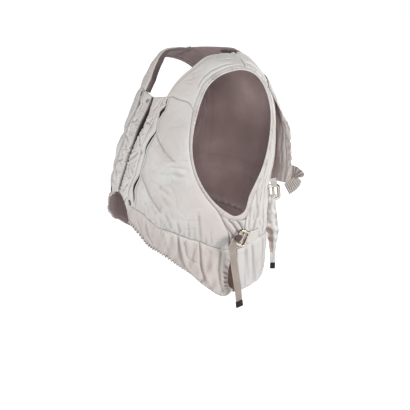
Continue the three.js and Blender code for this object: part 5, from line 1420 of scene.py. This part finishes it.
def underarms():
    for side, mirror, seed in SIDES:
        g = Grid(underarm_spot, 40, 60)
        turn, z = underarm_place(g.u, g.v)
        fan = np.min([line_distance(turn, z, line)[0] for line in FAN_LINES], axis=0)
        target = 3.4 * swell(g.u, g.v, 0.3) * np.clip(0.25 + fan / 6, 0, 1)
        high = np.minimum(target + 1.8, crease(fan, 0.0, 0.55))
        seedling = 0.4 * ripple(g.s, g.t, 8, 26, 70, 0.3, seed + 81) + 0.3 * ripple(g.s, g.t, 7, 12, 100, 0.3, seed + 82)
        start = np.where(g.rim, -0.8, target * 0.6 + seedling)
        x = settle(g, 1.08, 1.03, target, -1.0, high, start, bend=0.3, stiff=0.06)
        creased = 1.2 * crumple(g.s, g.t, 8, 1.9, 60, seed + 610)
        x = x + g.n * (-1.6 * np.tanh(-creased / 1.6) * swell(g.u, g.v, 0.4))[..., None]
        inner = g.p - g.n * 2.6
        # painted shade along the fan of creases
        o = shell(f"underarm_panel_{side}", g, x, inner, [RUCHED, LINING], (0.1, 0.1, 0.4, 0.1), 2, (1, 1, 0, 1), mirror=mirror, lines=fan)
        take(o, f"underarm_panel_{side}")


# ------------------------------------------------------------------ armhole bindings
def binding_frame(steps):
    """The armhole's free edge and, across the binding from it, the edge of the panels it is sewn to."""
    y0, z0 = ARM_AXIS
    loop = np.array([(out, y0 - reach * math.sin(math.radians(a)), z0 + reach * math.cos(math.radians(a))) for a, reach, out, _ in ARMHOLE])
    p = even_path(smooth_path(loop, 900, True), steps, True)
    t = unit(np.roll(p, -1, 0) - np.roll(p, 1, 0))
    arm = track(YOKE, 0, 2)
    k = np.linspace(0, 1, 400)
    yoke = over_shoulder(arm(lerp(YOKE[0][0], YOKE[-1][0], k)), lerp(float(yoke_front(1.0)), YOKE[-1][0], k))
    back_side = track(BACK_SIDE, 0, 1)
    zb = lerp(-5.4, -272.0, k)
    rear = around(back_side(zb), zb)
    under = around(*underarm_place(1 - k, 0 * k))
    zf = lerp(-255.5, -76.0, k)
    front = around(front_side(zf), zf)
    edge = even_path(np.vstack([yoke, rear, under, front]), 2400, True)
    q = np.zeros_like(p)
    for i in range(steps):
        d = edge - p[i]
        q[i] = edge[np.argmin((d * d).sum(1) + 5 * (d @ t[i]) ** 2)]
    for _ in range(6):
        q = (2 * q + np.roll(q, -1, 0) + np.roll(q, 1, 0)) / 4
    side = q - p
    side = side - dot(side, t)[:, None] * t
    width = np.linalg.norm(side, axis=1)
    side = unit(side)
    n = np.cross(t, side)
    mid = np.array([0.0, 4.0, -150.0])
    n = n * np.where(dot(n, p - mid) < 0, -1.0, 1.0)[:, None]
    return p, t, n, side, width


def bindings():
    steps, around_n = 460, 20
    p, t, n, side, width = binding_frame(steps)
    s = np.concatenate([[0], np.cumsum(np.linalg.norm(np.diff(p, axis=0), axis=1))])
    total = s[-1] + np.linalg.norm(p[0] - p[-1])
    f = np.arange(around_n) * 2 * math.pi / around_n
    for name, mirror, seed in SIDES:
        r = np.random.RandomState(seed + 91)
        waves = sum(a * np.cos(2 * np.pi * k * s / total + ph) for k, a, ph in zip(r.randint(60, 110, 9), r.uniform(0.02, 0.05, 9), r.uniform(0, 6.3, 9)))
        slow = sum(a * np.cos(2 * np.pi * k * s / total + ph) for k, a, ph in zip(r.randint(8, 24, 6), r.uniform(0.05, 0.16, 6), r.uniform(0, 6.3, 6)))
        half = (width + 0.6) / 2
        ca = np.sign(np.cos(f)) * np.abs(np.cos(f)) ** (2 / 3.0)
        sb = np.sign(np.sin(f)) * np.abs(np.sin(f)) ** (2 / 2.4)
        along = half[:, None] * (1 + ca[None])
        rise = 1.55 * sb[None] * np.ones((steps, 1)) - 0.25
        crown = np.maximum(sb, 0)[None]
        stitched = np.exp(-(((along - (2 * half[:, None] - 2.2)) / 0.9) ** 2))
        rise = rise + crown * (waves[:, None] * (0.4 + 0.6 * np.exp(-((along - half[:, None]) / 3) ** 2)) + 0.4 * slow[:, None] - 0.5 * stitched)
        rise = rise - 0.55 * (along / (2 * half[:, None])) ** 2
        high_up = np.clip((p[:, 2] + 105) / 25, 0, 1) * np.clip((25 - p[:, 1]) / 25, 0, 1)
        turned_in = np.exp(-(((along - 0.62 * half[:, None]) / 0.9) ** 2)) * crown * high_up[:, None]
        rise = rise - 1.1 * turned_in
        v = p[:, None] + side[:, None] * along[..., None] + n[:, None] * rise[..., None]
        idx = np.arange(steps * around_n).reshape(steps, around_n)
        q = np.stack([idx, np.roll(idx, -1, 1), np.roll(np.roll(idx, -1, 0), -1, 1), np.roll(idx, -1, 0)], -1).reshape(-1, 4)
        vv = v.reshape(-1, 3)
        a, b, c3 = vv[q[:, 0]], vv[q[:, 1]], vv[q[:, 3]]
        if np.einsum("ij,ij->i", np.cross(b - a, c3 - a), (a + c3) / 2 - np.repeat(p + side * half[:, None] - n * 0.25, around_n, 0)).sum() < 0:
            q = q[:, ::-1]
        arc = np.concatenate([[0], np.cumsum(np.full(around_n - 1, 1.1))])
        uv = np.stack([np.tile(arc, steps), np.repeat(s, around_n)], 1)
        # painted shade along the seam with the panels and along the stitch line, in the hollows of the binding's waves
        # and in its turned-in fold, and painted light on the wave crests
        seam = np.maximum(np.exp(-(((along - 2 * half[:, None]) / 0.7) ** 2)), 0.3 * stitched).ravel()
        low = np.clip(-(waves[:, None] + 0.6 * slow[:, None]) * crown * 2 + 1.2 * turned_in, -1, 2).ravel()
        lined = np.tile(np.sin(f + math.pi / around_n) < -0.05, steps) * 1
        o = mesh_object(f"armhole_binding_{name}", vv, [q], [SHELL, LINING], [lined], uv, {"seam": seam, "painted_shading": low}, mirror)
        take(o, f"armhole_binding_{name}")
        row = p + side * (2 * half - 2.2)[:, None] + n * (0.55 + 0.4 * waves)[:, None]
        stitch_row(sewing[name], np.vstack([row, row[:1]]), np.vstack([n, n[:1]]), 3.2, 2.3, 0.28, 0.05)


# ------------------------------------------------------------------ loose flap and its ribbed band
def flap():
    rows = FLAP_CLOTH
    ex, ez, ey = track(rows, 0, 1), track(rows, 0, 2), track(rows, 0, 3)
    mz, my = track(rows, 0, 4), track(rows, 0, 5)

    def place(u, v):
        s = 2 * u - 1
        x, z = s * ex(v), lerp(mz(v), ez(v), s * s)
        y = np.maximum(lerp(my(v), ey(v), np.abs(s) ** 2.2), depth(x, z, True) + FLAP_CLEAR)
        return np.stack([x, y, z], -1)

    g = Grid(place, 140, 106, (0, 1, 0.2))
    side = np.minimum(g.left, g.right)
    folds = 2.4 * ripple(g.s, g.t, 30, 110, 90, 0.35, 101) + (1.5 * ripple(g.s, g.t, 14, 26, 76, 0.35, 102) + 1.5 * ripple(g.s, g.t, 15, 26, 106, 0.35, 104)) * np.exp(-((side / 42) ** 2))
    held = np.clip((g.v - 0.80) / 0.08, 0, 1)
    target = np.clip(folds * np.clip(g.top / 35, 0, 1) * lerp(0.42, 1.35, np.exp(-side / 45)) * (1 - 0.55 * held), -2.0, lerp(5.5, 0.8, held))
    seedling = 0.3 * ripple(g.s, g.t, 9, 16, 88, 0.3, 103)
    start = np.where(g.rim, 0.0, target + seedling)
    start[1:, 0], start[1:, -1], start[-1] = target[1:, 0] * 0.8, target[1:, -1] * 0.8, target[-1]
    pinned = g.rim.copy()
    pinned[1:-1, 0] = pinned[1:-1, -1] = False
    x = settle(g, 1.006 + 0.05 * np.exp(-((side / 42) ** 2)) + 0.05 * np.exp(-g.foot / 12), 1.006, target, -2.2, lerp(6.0, 1.0, held), start, pinned, hold=0.035, stiff=0.08, steps=int(STEPS * 0.6))
    x = x + g.n * (lerp(0.5, 1.9, np.exp(-((side / 42) ** 2))) * crumple(g.s, g.t, 12, 1.8, 84, 520) * np.clip(g.top / 30, 0, 1))[..., None]
    inner = x - g.n * 1.2
    # the flap is drawn in lighter copies of the shell and lining: painted light
    o = shell("back_flap", g, x, inner, [LIT_FLAP_SHELL, LIT_FLAP_LINING], (0.6, 0.9, 0.9, 0.9), 1, (0, 0, 0, 0), facing=side < 40 + 16 * g.v + 4 * np.sin(g.t / 17.0))
    take(o, "back_flap")
    vs = np.linspace(0.03, 0.98, 200)
    for edge in (0, 1):
        us = np.array([np.interp(5.0, g.s[int(v * 106)], g.u[0]) for v in vs])
        stitch_row(sewing["middle"], *grid_line(g, x, us if not edge else 1 - us, vs), 3.4, 2.4, 0.28, 0.0)

    rows = [(-x0, y0, z0) for x0, y0, z0 in FLAP_BAND_PATH[:0:-1]] + FLAP_BAND_PATH
    path = even_path(smooth_path(rows, 400), 760)
    tangent = unit(np.gradient(path, axis=0))
    up = unit(np.array([0, 0, 1.0]) - tangent[:, 2:3] * tangent)
    out = np.cross(tangent, up)
    out *= np.sign(dot(out, np.array([0, 1.0, 0]))[380])
    s = np.linspace(0, np.linalg.norm(np.diff(path, axis=0), axis=1).sum(), 761)
    pitch, across = 4.0, 15
    w = np.linspace(-1, 1, across)
    beat = np.cos(2 * np.pi * s / pitch)
    body = np.sqrt(np.maximum(1 - w ** 8, 0.0))
    sway = 0.7 * mottle(s[:, None], (w * 13)[None], 16, 40, 0, 111)
    high = path[:, None] + up[:, None] * (w * FLAP_BAND["height"] / 2)[None, :, None]
    front = high + out[:, None] * ((1.0 + 0.75 * beat[:, None]) * body[None] + sway)[..., None]
    rear = high - out[:, None] * ((1.0 + 0.75 * beat[:, None]) * body[None] - sway)[..., None]
    m = len(path)
    idx = np.arange(m * across).reshape(m, across)
    q = np.stack([idx[:-1, :-1], idx[:-1, 1:], idx[1:, 1:], idx[1:, :-1]], -1).reshape(-1, 4)
    loop = np.concatenate([idx[0], idx[1:, -1], idx[-1, -2::-1], idx[-2:0:-1, 0]])
    M = m * across
    rim = np.stack([np.roll(loop, -1), loop, M + loop, M + np.roll(loop, -1)], 1)
    faces = [q, M + q[:, ::-1], rim]
    vv = np.concatenate([front.reshape(-1, 3), rear.reshape(-1, 3)])
    a, b, c3 = vv[q[:, 0]], vv[q[:, 1]], vv[q[:, 3]]
    if np.einsum("ij,ij->i", np.cross(b - a, c3 - a), np.repeat(out[:-1], across - 1, 0)).sum() < 0:
        faces = [x0[:, ::-1] for x0 in faces]
    # painted shade in the furrows between the ribs
    low = np.repeat(np.clip(-beat, 0, 1), across)
    uv = np.stack([np.repeat(s, across), np.tile(w * 13, m)], 1)
    o = mesh_object("flap_band", vv, faces, [RIB], None, np.concatenate([uv, uv]), {"painted_shading": np.concatenate([low, low])})
    take(o, "flap_band")


# ------------------------------------------------------------------ straps, buckles, tabs
def strap_mesh(name, path, across, width, thick, material, wave=None, mirror=False, edge_light=True, shaded_rows=None):
    """A flat woven strap: rounded edges, a slight crown, along a path with its own width direction."""
    n = len(path)
    t = unit(np.gradient(path, axis=0))
    w = unit(across - dot(across, t)[:, None] * t)
    up = np.cross(t, w)
    k = 22
    f = np.arange(k) * 2 * math.pi / k
    a = np.sign(np.cos(f)) * np.abs(np.cos(f)) ** (2 / 7)
    b = np.sign(np.sin(f)) * np.abs(np.sin(f)) ** (2 / 2.2)
    half = (np.broadcast_to(width, (n,)) / 2)[:, None]
    bow = np.zeros((n, k)) if wave is None else wave(np.linspace(0, 1, n)[:, None], a[None] * half)
    v = path[:, None] + w[:, None] * (half * a[None])[..., None] + up[:, None] * (thick / 2 * b[None] + bow)[..., None]
    idx = np.arange(n * k).reshape(n, k)
    q = np.stack([idx[:-1], np.roll(idx[:-1], -1, 1), np.roll(idx[1:], -1, 1), idx[1:]], -1).reshape(-1, 4)
    vv = np.concatenate([v.reshape(-1, 3), path[:1], path[-1:]])
    c0, c1 = n * k, n * k + 1
    tris = np.concatenate([np.stack([np.roll(idx[0], -1), idx[0], np.full(k, c0)], 1), np.stack([idx[-1], np.roll(idx[-1], -1), np.full(k, c1)], 1)])
    s = np.concatenate([[0], np.cumsum(np.linalg.norm(np.diff(path, axis=0), axis=1))])
    uv = np.stack([(half * a[None]).ravel() + 20, np.repeat(s, k)], 1)
    uv = np.vstack([uv, [[20, 0], [20, s[-1]]]])
    a3, b3, c3 = vv[q[:, 0]], vv[q[:, 1]], vv[q[:, 3]]
    faces = [q, tris]
    if np.einsum("ij,ij->i", np.cross(b3 - a3, c3 - a3), (a3 + c3) / 2 - np.repeat(path[:-1], k, 0)).sum() < 0:
        faces = [q[:, ::-1], tris[:, ::-1]]
    light = np.tile(np.exp(-(((1 - np.abs(a)) / 0.10) ** 2)) * edge_light, n)
    if shaded_rows is None:
        return mesh_object(name, vv, faces, [material], None, uv, {"seam": np.append(light, [0, 0])}, mirror), s[-1]
    # rows between first and last take the second cloth: painted shade
    cloth, first, last = shaded_rows
    row = np.repeat(np.arange(n - 1) / (n - 1), k)
    which = [((row > first) & (row < last)) * 1, np.zeros(len(tris))]
    return mesh_object(name, vv, faces, [material, cloth], which, uv, {"seam": np.append(light, [0, 0])}, mirror), s[-1]


def rounded_loop(half_x, half_y, r, n=14):
    pts = []
    for cx, cy, a0 in ((half_x - r, half_y - r, 0), (-half_x + r, half_y - r, 90), (-half_x + r, -half_y + r, 180), (half_x - r, -half_y + r, 270)):
        for k in range(n + 1):
            a = math.radians(a0 + 90 * k / n)
            pts.append((cx + r * math.cos(a), cy + r * math.sin(a), 0))
    return even_path(np.array(pts), 120, True)


def buckle_object(name, origin, x_axis, y_axis, mirror):
    """A cast ring with a middle bar: a rounded rod bent to a loop, swelling where the bar joins."""
    x = unit(np.array(x_axis, float))
    y = np.array(y_axis, float)
    y = unit(y - (y @ x) * x)
    z = np.cross(x, y)
    place = lambda pts: np.asarray(origin) + pts[:, :1] * x + pts[:, 1:2] * y + pts[:, 2:] * z
    b, rod, sides = BUCKLE, 5.2, 16
    hx, hy = b["across"] / 2 - rod / 2 + 0.4, b["long"] / 2 - rod / 2 + 0.4
    bag = Bag()
    # painted shade and dark reflection along the flanks of the rods, leaving their crowns bright
    flank_shade = 1 - np.abs(np.sin(np.arange(sides) * 2 * math.pi / sides)) ** 3

    def rod_of(path, radius, closed, squash):
        v, q, t = tube(place(path), radius, sides, closed, squash, up=z)
        mark = np.tile(flank_shade, len(path))
        bag.add(v, q, t, mark=mark if closed else np.append(mark, [0.5, 0.5]))

    loop = rounded_loop(hx, hy, b["corner"] - rod / 2)
    rod_of(loop, 1.18 * rod / 2 * (1 + 0.08 * np.exp(-((loop[:, 0] / 3.0) ** 2))), True, 0.8)
    k = np.linspace(-1, 1, 41)
    rod_of(np.stack([0 * k, k * (hy + 0.2), 0.15 * np.cos(k * np.pi / 2)], 1), 2.1 * (1 + 0.12 * np.abs(k) ** 8), False, 0.85)
    for s in (-1, 1):  # small knuckles where the bar is cast into the ring
        k = np.linspace(0, 1, 9)
        rod_of(np.stack([0 * k, s * (hy - 2.4 + 2.6 * k), 0 * k], 1), 1.8 + 0.4 * np.sin(np.pi * k * 0.8), False, 1.0)
    return bag.object(name, [METAL], mirror)


def rounded_block(length, width, thick, r):
    """A moulded end cap: a softly rounded block with two pressed grooves, from y = 0 to length."""
    n, k = 40, 36
    f = np.arange(k) * 2 * math.pi / k
    a = np.sign(np.cos(f)) * np.abs(np.cos(f)) ** (2 / 8)
    b = np.sign(np.sin(f)) * np.abs(np.sin(f)) ** (2 / 4)
    ends = r * (1 - np.cos(np.linspace(0, np.pi / 2, 7)))
    y = np.concatenate([ends, np.linspace(r, length - r, n)[1:-1], length - ends[::-1]])
    end = np.minimum(y, length - y)
    pull = np.where(end < r, r - np.sqrt(np.maximum(r * r - (r - end) ** 2, 0)), 0)
    groove = 0.22 * (np.exp(-((y - length * 0.24) / 0.5) ** 2) + np.exp(-((y - length * 0.36) / 0.5) ** 2))
    hw, ht = width / 2 - pull * 0.8, thick / 2 - pull * 0.8 - groove
    v = np.stack([hw[:, None] * a[None], np.repeat(y[:, None], k, 1), ht[:, None] * b[None]], -1)
    m = len(y)
    idx = np.arange(m * k).reshape(m, k)
    q = np.stack([idx[:-1], np.roll(idx[:-1], -1, 1), np.roll(idx[1:], -1, 1), idx[1:]], -1).reshape(-1, 4)
    v = np.concatenate([v.reshape(-1, 3), [[0, 0, 0], [0, length, 0]]])
    t = np.concatenate([np.stack([np.roll(idx[0], -1), idx[0], np.full(k, m * k)], 1), np.stack([idx[-1], np.roll(idx[-1], -1), np.full(k, m * k + 1)], 1)])
    return v, q, t


def cap_object(name, size, origin, x_axis, y_axis, mirror):
    y = unit(np.array(y_axis, float))
    x = np.array(x_axis, float)
    x = unit(x - (x @ y) * y)
    z = np.cross(x, y)
    v, q, t = rounded_block(size["length"], size["width"], size["thick"], 1.3)
    a, b, c = v[q[:, 0]], v[q[:, 1]], v[q[:, 3]]
    mid = np.stack([0 * a[:, 0], a[:, 1], 0 * a[:, 0]], 1)
    if np.einsum("ij,ij->i", np.cross(b - a, c - a), a - mid).sum() < 0:
        q, t = q[:, ::-1], t[:, ::-1]
    v = np.asarray(origin) + v[:, :1] * x + v[:, 1:2] * y + v[:, 2:] * z
    return mesh_object(name, v, [q, t], [BLACK], None, None, None, mirror)


def turned(v, axis, degrees):
    return np.array(Matrix.Rotation(math.radians(degrees), 3, Vector(axis)) @ Vector(v))


def side_fastenings():
    d = SIDE_BUCKLE
    seat = around(np.array([d["turn"]]), np.array([d["z"]]))[0]
    out, back = unit(np.array([1, 0.06, 0])), unit(np.array([-0.06, 1, 0]))
    bar, along = turned((0, 0, 1), out, d["tilt"]), turned(back, out, d["tilt"])
    level = np.array([0, 1, 0.1])
    raw = smooth_path(SIDE_STRAP_PATH, 132) + np.array([2.2, 0, 0])
    n = len(raw)
    turn = np.clip((np.arange(n) / n - 0.12) / 0.28, 0, 1)[:, None]
    across = lerp(bar[None], level[None], turn)
    t = BUCKLE_TAB
    for side, mirror, seed in SIDES:
        o = buckle_object(f"side_buckle_{side}", seat + out * d["stand"], along, bar, mirror)
        take(o, f"side_buckle_{side}")
        curl = lambda k, w: 0.010 * w * w * np.sin(np.pi * k) + 0.35 * np.sin(9 * k + 0.12 * w + seed)
        # the rows where the strap turns over the bar are drawn in dark webbing: painted shade
        o, length = strap_mesh(f"side_strap_{side}", raw, across, WEBBING["width"], WEBBING["thick"], WEB, curl, mirror, shaded_rows=(WEB_SHADE, 0.03, 0.27))
        take(o, f"side_strap_{side}")
        run = unit(raw[-1] - raw[-2])
        o = cap_object(f"side_strap_tip_{side}", TIP, raw[-1] + run * 0.1 - run * 1.0, level, run, mirror)
        take(o, f"side_strap_tip_{side}")

        def place(u, v):
            turn_ = lerp(t["inner"] - 1.0, t["outer"], u)
            return around(turn_, lerp(lerp(t["inner_top"], t["outer_top"], u), lerp(t["inner_foot"], t["outer_foot"], u), v))
        g = Grid(place, 30, 20)
        target = 4.4 - 3.4 * g.u ** 2
        seedling = 0.3 * ripple(g.s, g.t, 8, 14, 10, 0.3, seed + 121)
        start = np.where(g.rim, target, target + seedling)
        x = settle(g, 1.04, 1.05, target + 0.6 * swell(g.u, g.v), target - 1, target + 2, start, steps=int(STEPS * 0.5))
        o = shell(f"buckle_tab_{side}", g, x, x - g.n * 2.0, [THIN], (0.9, 0.6, 0.9, 0.9), 2, (0, 1, 0, 0), mirror=mirror)
        take(o, f"buckle_tab_{side}")
        k = np.linspace(0.08, 0.92, 60)
        for us, vs in ((k, 0 * k + 0.12), (k, 0 * k + 0.88), (0 * k + 0.9, k), (0 * k + 0.35, k)):
            stitch_row(sewing[side], *grid_line(g, x, us, vs), 3.0, 2.1, 0.26, 0.0)


def back_fastenings():
    d = BACK_BUCKLE
    a = math.radians(d["facing"])
    out = np.array([math.cos(a), math.sin(a), 0])
    along = turned((0, 0, 1), out, d["tilt"])
    bar = np.cross(out, along)
    level = np.array([0.47, 0.88, 0])
    for side, mirror, seed in SIDES:
        o = buckle_object(f"back_buckle_{side}", d["at"], bar, along, mirror)
        take(o, f"back_buckle_{side}")
        path = smooth_path([r[:3] for r in BACK_TAB_PATH], 40) + np.array([2.0, 0, 0])
        across = np.broadcast_to(level, path.shape)
        o, length = strap_mesh(f"back_tab_{side}", path, across, 12.0, 1.8, THIN, lambda k, w: 0.3 * np.sin(7 * k + 0.5 * w), mirror, False)
        take(o, f"back_tab_{side}")
        # hanging cloth strap: a soft strip with lengthwise folds that narrows to its tip
        rows = BACK_STRAP_PATH
        centre = even_path(smooth_path([r[:3] for r in rows], 200), 100) + np.array([1.5, 0, 0])
        wide = track([(i / (len(rows) - 1), r[3]) for i, r in enumerate(rows)], 0, 1)

        def place(u, v):
            i = np.clip(np.rint(v * 100).astype(int), 0, 100)
            w = unit(level)
            return centre[i] + w * ((u - 0.5) * wide(v))[..., None]
        g = Grid(place, 24, 100, out)
        broad = np.clip(wide(g.v) / 14 - 0.6, 0, 1)
        target = (2.2 * np.cos(2 * np.pi * (1.35 * g.u + 0.12 + 0.10 * np.sin(5 * g.v + seed))) + 0.9 * ripple(g.s, g.t, 26, 20, 20, 0.3, seed + 131)) * broad
        seedling = 0.3 * ripple(g.s, g.t, 16, 14, 25, 0.3, seed + 132) + 0.2 * ripple(g.s, g.t, 12, 12, -30, 0.3, seed + 133)
        pinned = np.zeros_like(g.rim)
        pinned[0], pinned[-1] = True, True
        start = np.where(pinned, 0, target + seedling)
        x = settle(g, 1.05, 1.035, target, -3.0, 3.4, start, pinned, bend=0.35, stiff=0.12, hold=0.035, slide=3.0)
        x = x + g.n * (0.9 * crumple(g.s, g.t, 9, 1.8, 70, seed + 550) * broad * swell(g.u, g.v, 0.3))[..., None]
        # the lining turned out along the strap's left side, in a copy that also paints the brown shade there
        o = shell(f"back_strap_{side}", g, x, x - g.n * 1.8, [THIN, STRAP_LINING_SHADE], (0.6, 0.9, 0.6, 0.9), 2, (0, 0, 0, 0), mirror=mirror, under=(g.u < 0.14 + 0.42 * np.clip((g.v - 0.42) / 0.12, 0, 1)) & (g.v > 0.06) & (g.v < 0.84))
        take(o, f"back_strap_{side}")
        o = cap_object(f"back_strap_tip_{side}", BACK_TIP, centre[-1] + np.array([0, 0, 0.6]), level, (0, 0, -1), mirror)
        take(o, f"back_strap_tip_{side}")


def label():
    c = NECK_LABEL

    def place(u, v):
        x, z = lerp(-c["width"] / 2, c["width"] / 2, u), 17 - c["below"] - c["height"] * v
        return np.stack([x, depth(x, z, True), z], -1)
    g = Grid(place, 58, 16)
    bow = 0.35 * np.sin(np.pi * g.v) + 0.2 * mottle(g.s, g.t, 10, 10, 0, 141)
    face = g.p - g.n * (c["clear"] + 1.0 + bow)[..., None]
    back = g.p - g.n * (c["clear"] + bow)[..., None]
    o = shell("neck_label", g, back, face, [LABEL], (0.8, 0.8, 0.8, 0.8), 2, (0, 0, 0, 0), painted_shading=0 * g.u)
    take(o, "neck_label")


def snap():
    seat = np.array([SNAP["x"], depth(np.array(SNAP["x"]), np.array(SNAP["z"]), np.array(False)), SNAP["z"]], float)
    out = unit(np.array([-0.05, -0.9, 0.44]))
    seat = seat + out * 3.0
    x = unit(np.cross(out, [0, 0, 1.0]))
    y = np.cross(out, x)
    R, h = SNAP["radius"], SNAP["rise"]
    prof = [(0.0, -0.6), (R * 0.9, -0.6), (R, -0.2), (R, h * 0.3), (R * 0.94, h * 0.62), (R * 0.8, h * 0.78), (R * 0.62, h * 0.66), (R * 0.52, h * 0.3), (R * 0.46, h * 0.05), (R * 0.2, 0.0), (0.0, 0.0)]
    k = 36
    f = np.arange(k) * 2 * math.pi / k
    v = [seat + np.cos(f)[:, None] * r * x + np.sin(f)[:, None] * r * y + z * out for r, z in prof[1:-1]]
    m = len(v)
    v = np.concatenate(v + [[seat + prof[0][1] * out], [seat + prof[-1][1] * out]])
    idx = np.arange(m * k).reshape(m, k)
    q = np.stack([idx[:-1], idx[1:], np.roll(idx[1:], -1, 1), np.roll(idx[:-1], -1, 1)], -1).reshape(-1, 4)
    t = np.concatenate([np.stack([idx[0], np.roll(idx[0], -1), np.full(k, m * k)], 1), np.stack([np.roll(idx[-1], -1), idx[-1], np.full(k, m * k + 1)], 1)])
    a, b, c = v[q[:, 0]], v[q[:, 1]], v[q[:, 3]]
    if np.einsum("ij,ij->i", np.cross(b - a, c - a), a - seat).sum() < 0:
        q, t = q[:, ::-1], t[:, ::-1]
    which = [(np.arange(len(q)) // k >= 5) * 1, np.append(np.zeros(k), np.ones(k))]
    take(mesh_object("placket_snap", v, [q, t], [SNAP_RING, TEETH], which), "placket_snap")


front_panels()
hem_panels()
plackets()
pocket_bands()
zips()
yokes()
back_panel()
back_waist()
underarms()
bindings()
flap()
side_fastenings()
back_fastenings()
label()
snap()
for key, bag in sewing.items():
    if bag.n:
        take(bag.object(f"stitching_{key}", [THREAD], key == "right"), None)

for key, bag in tacks.items():
    take(bag.object(f"bar_tacks_{key}", [DARK_THREAD], key == "right"), None)
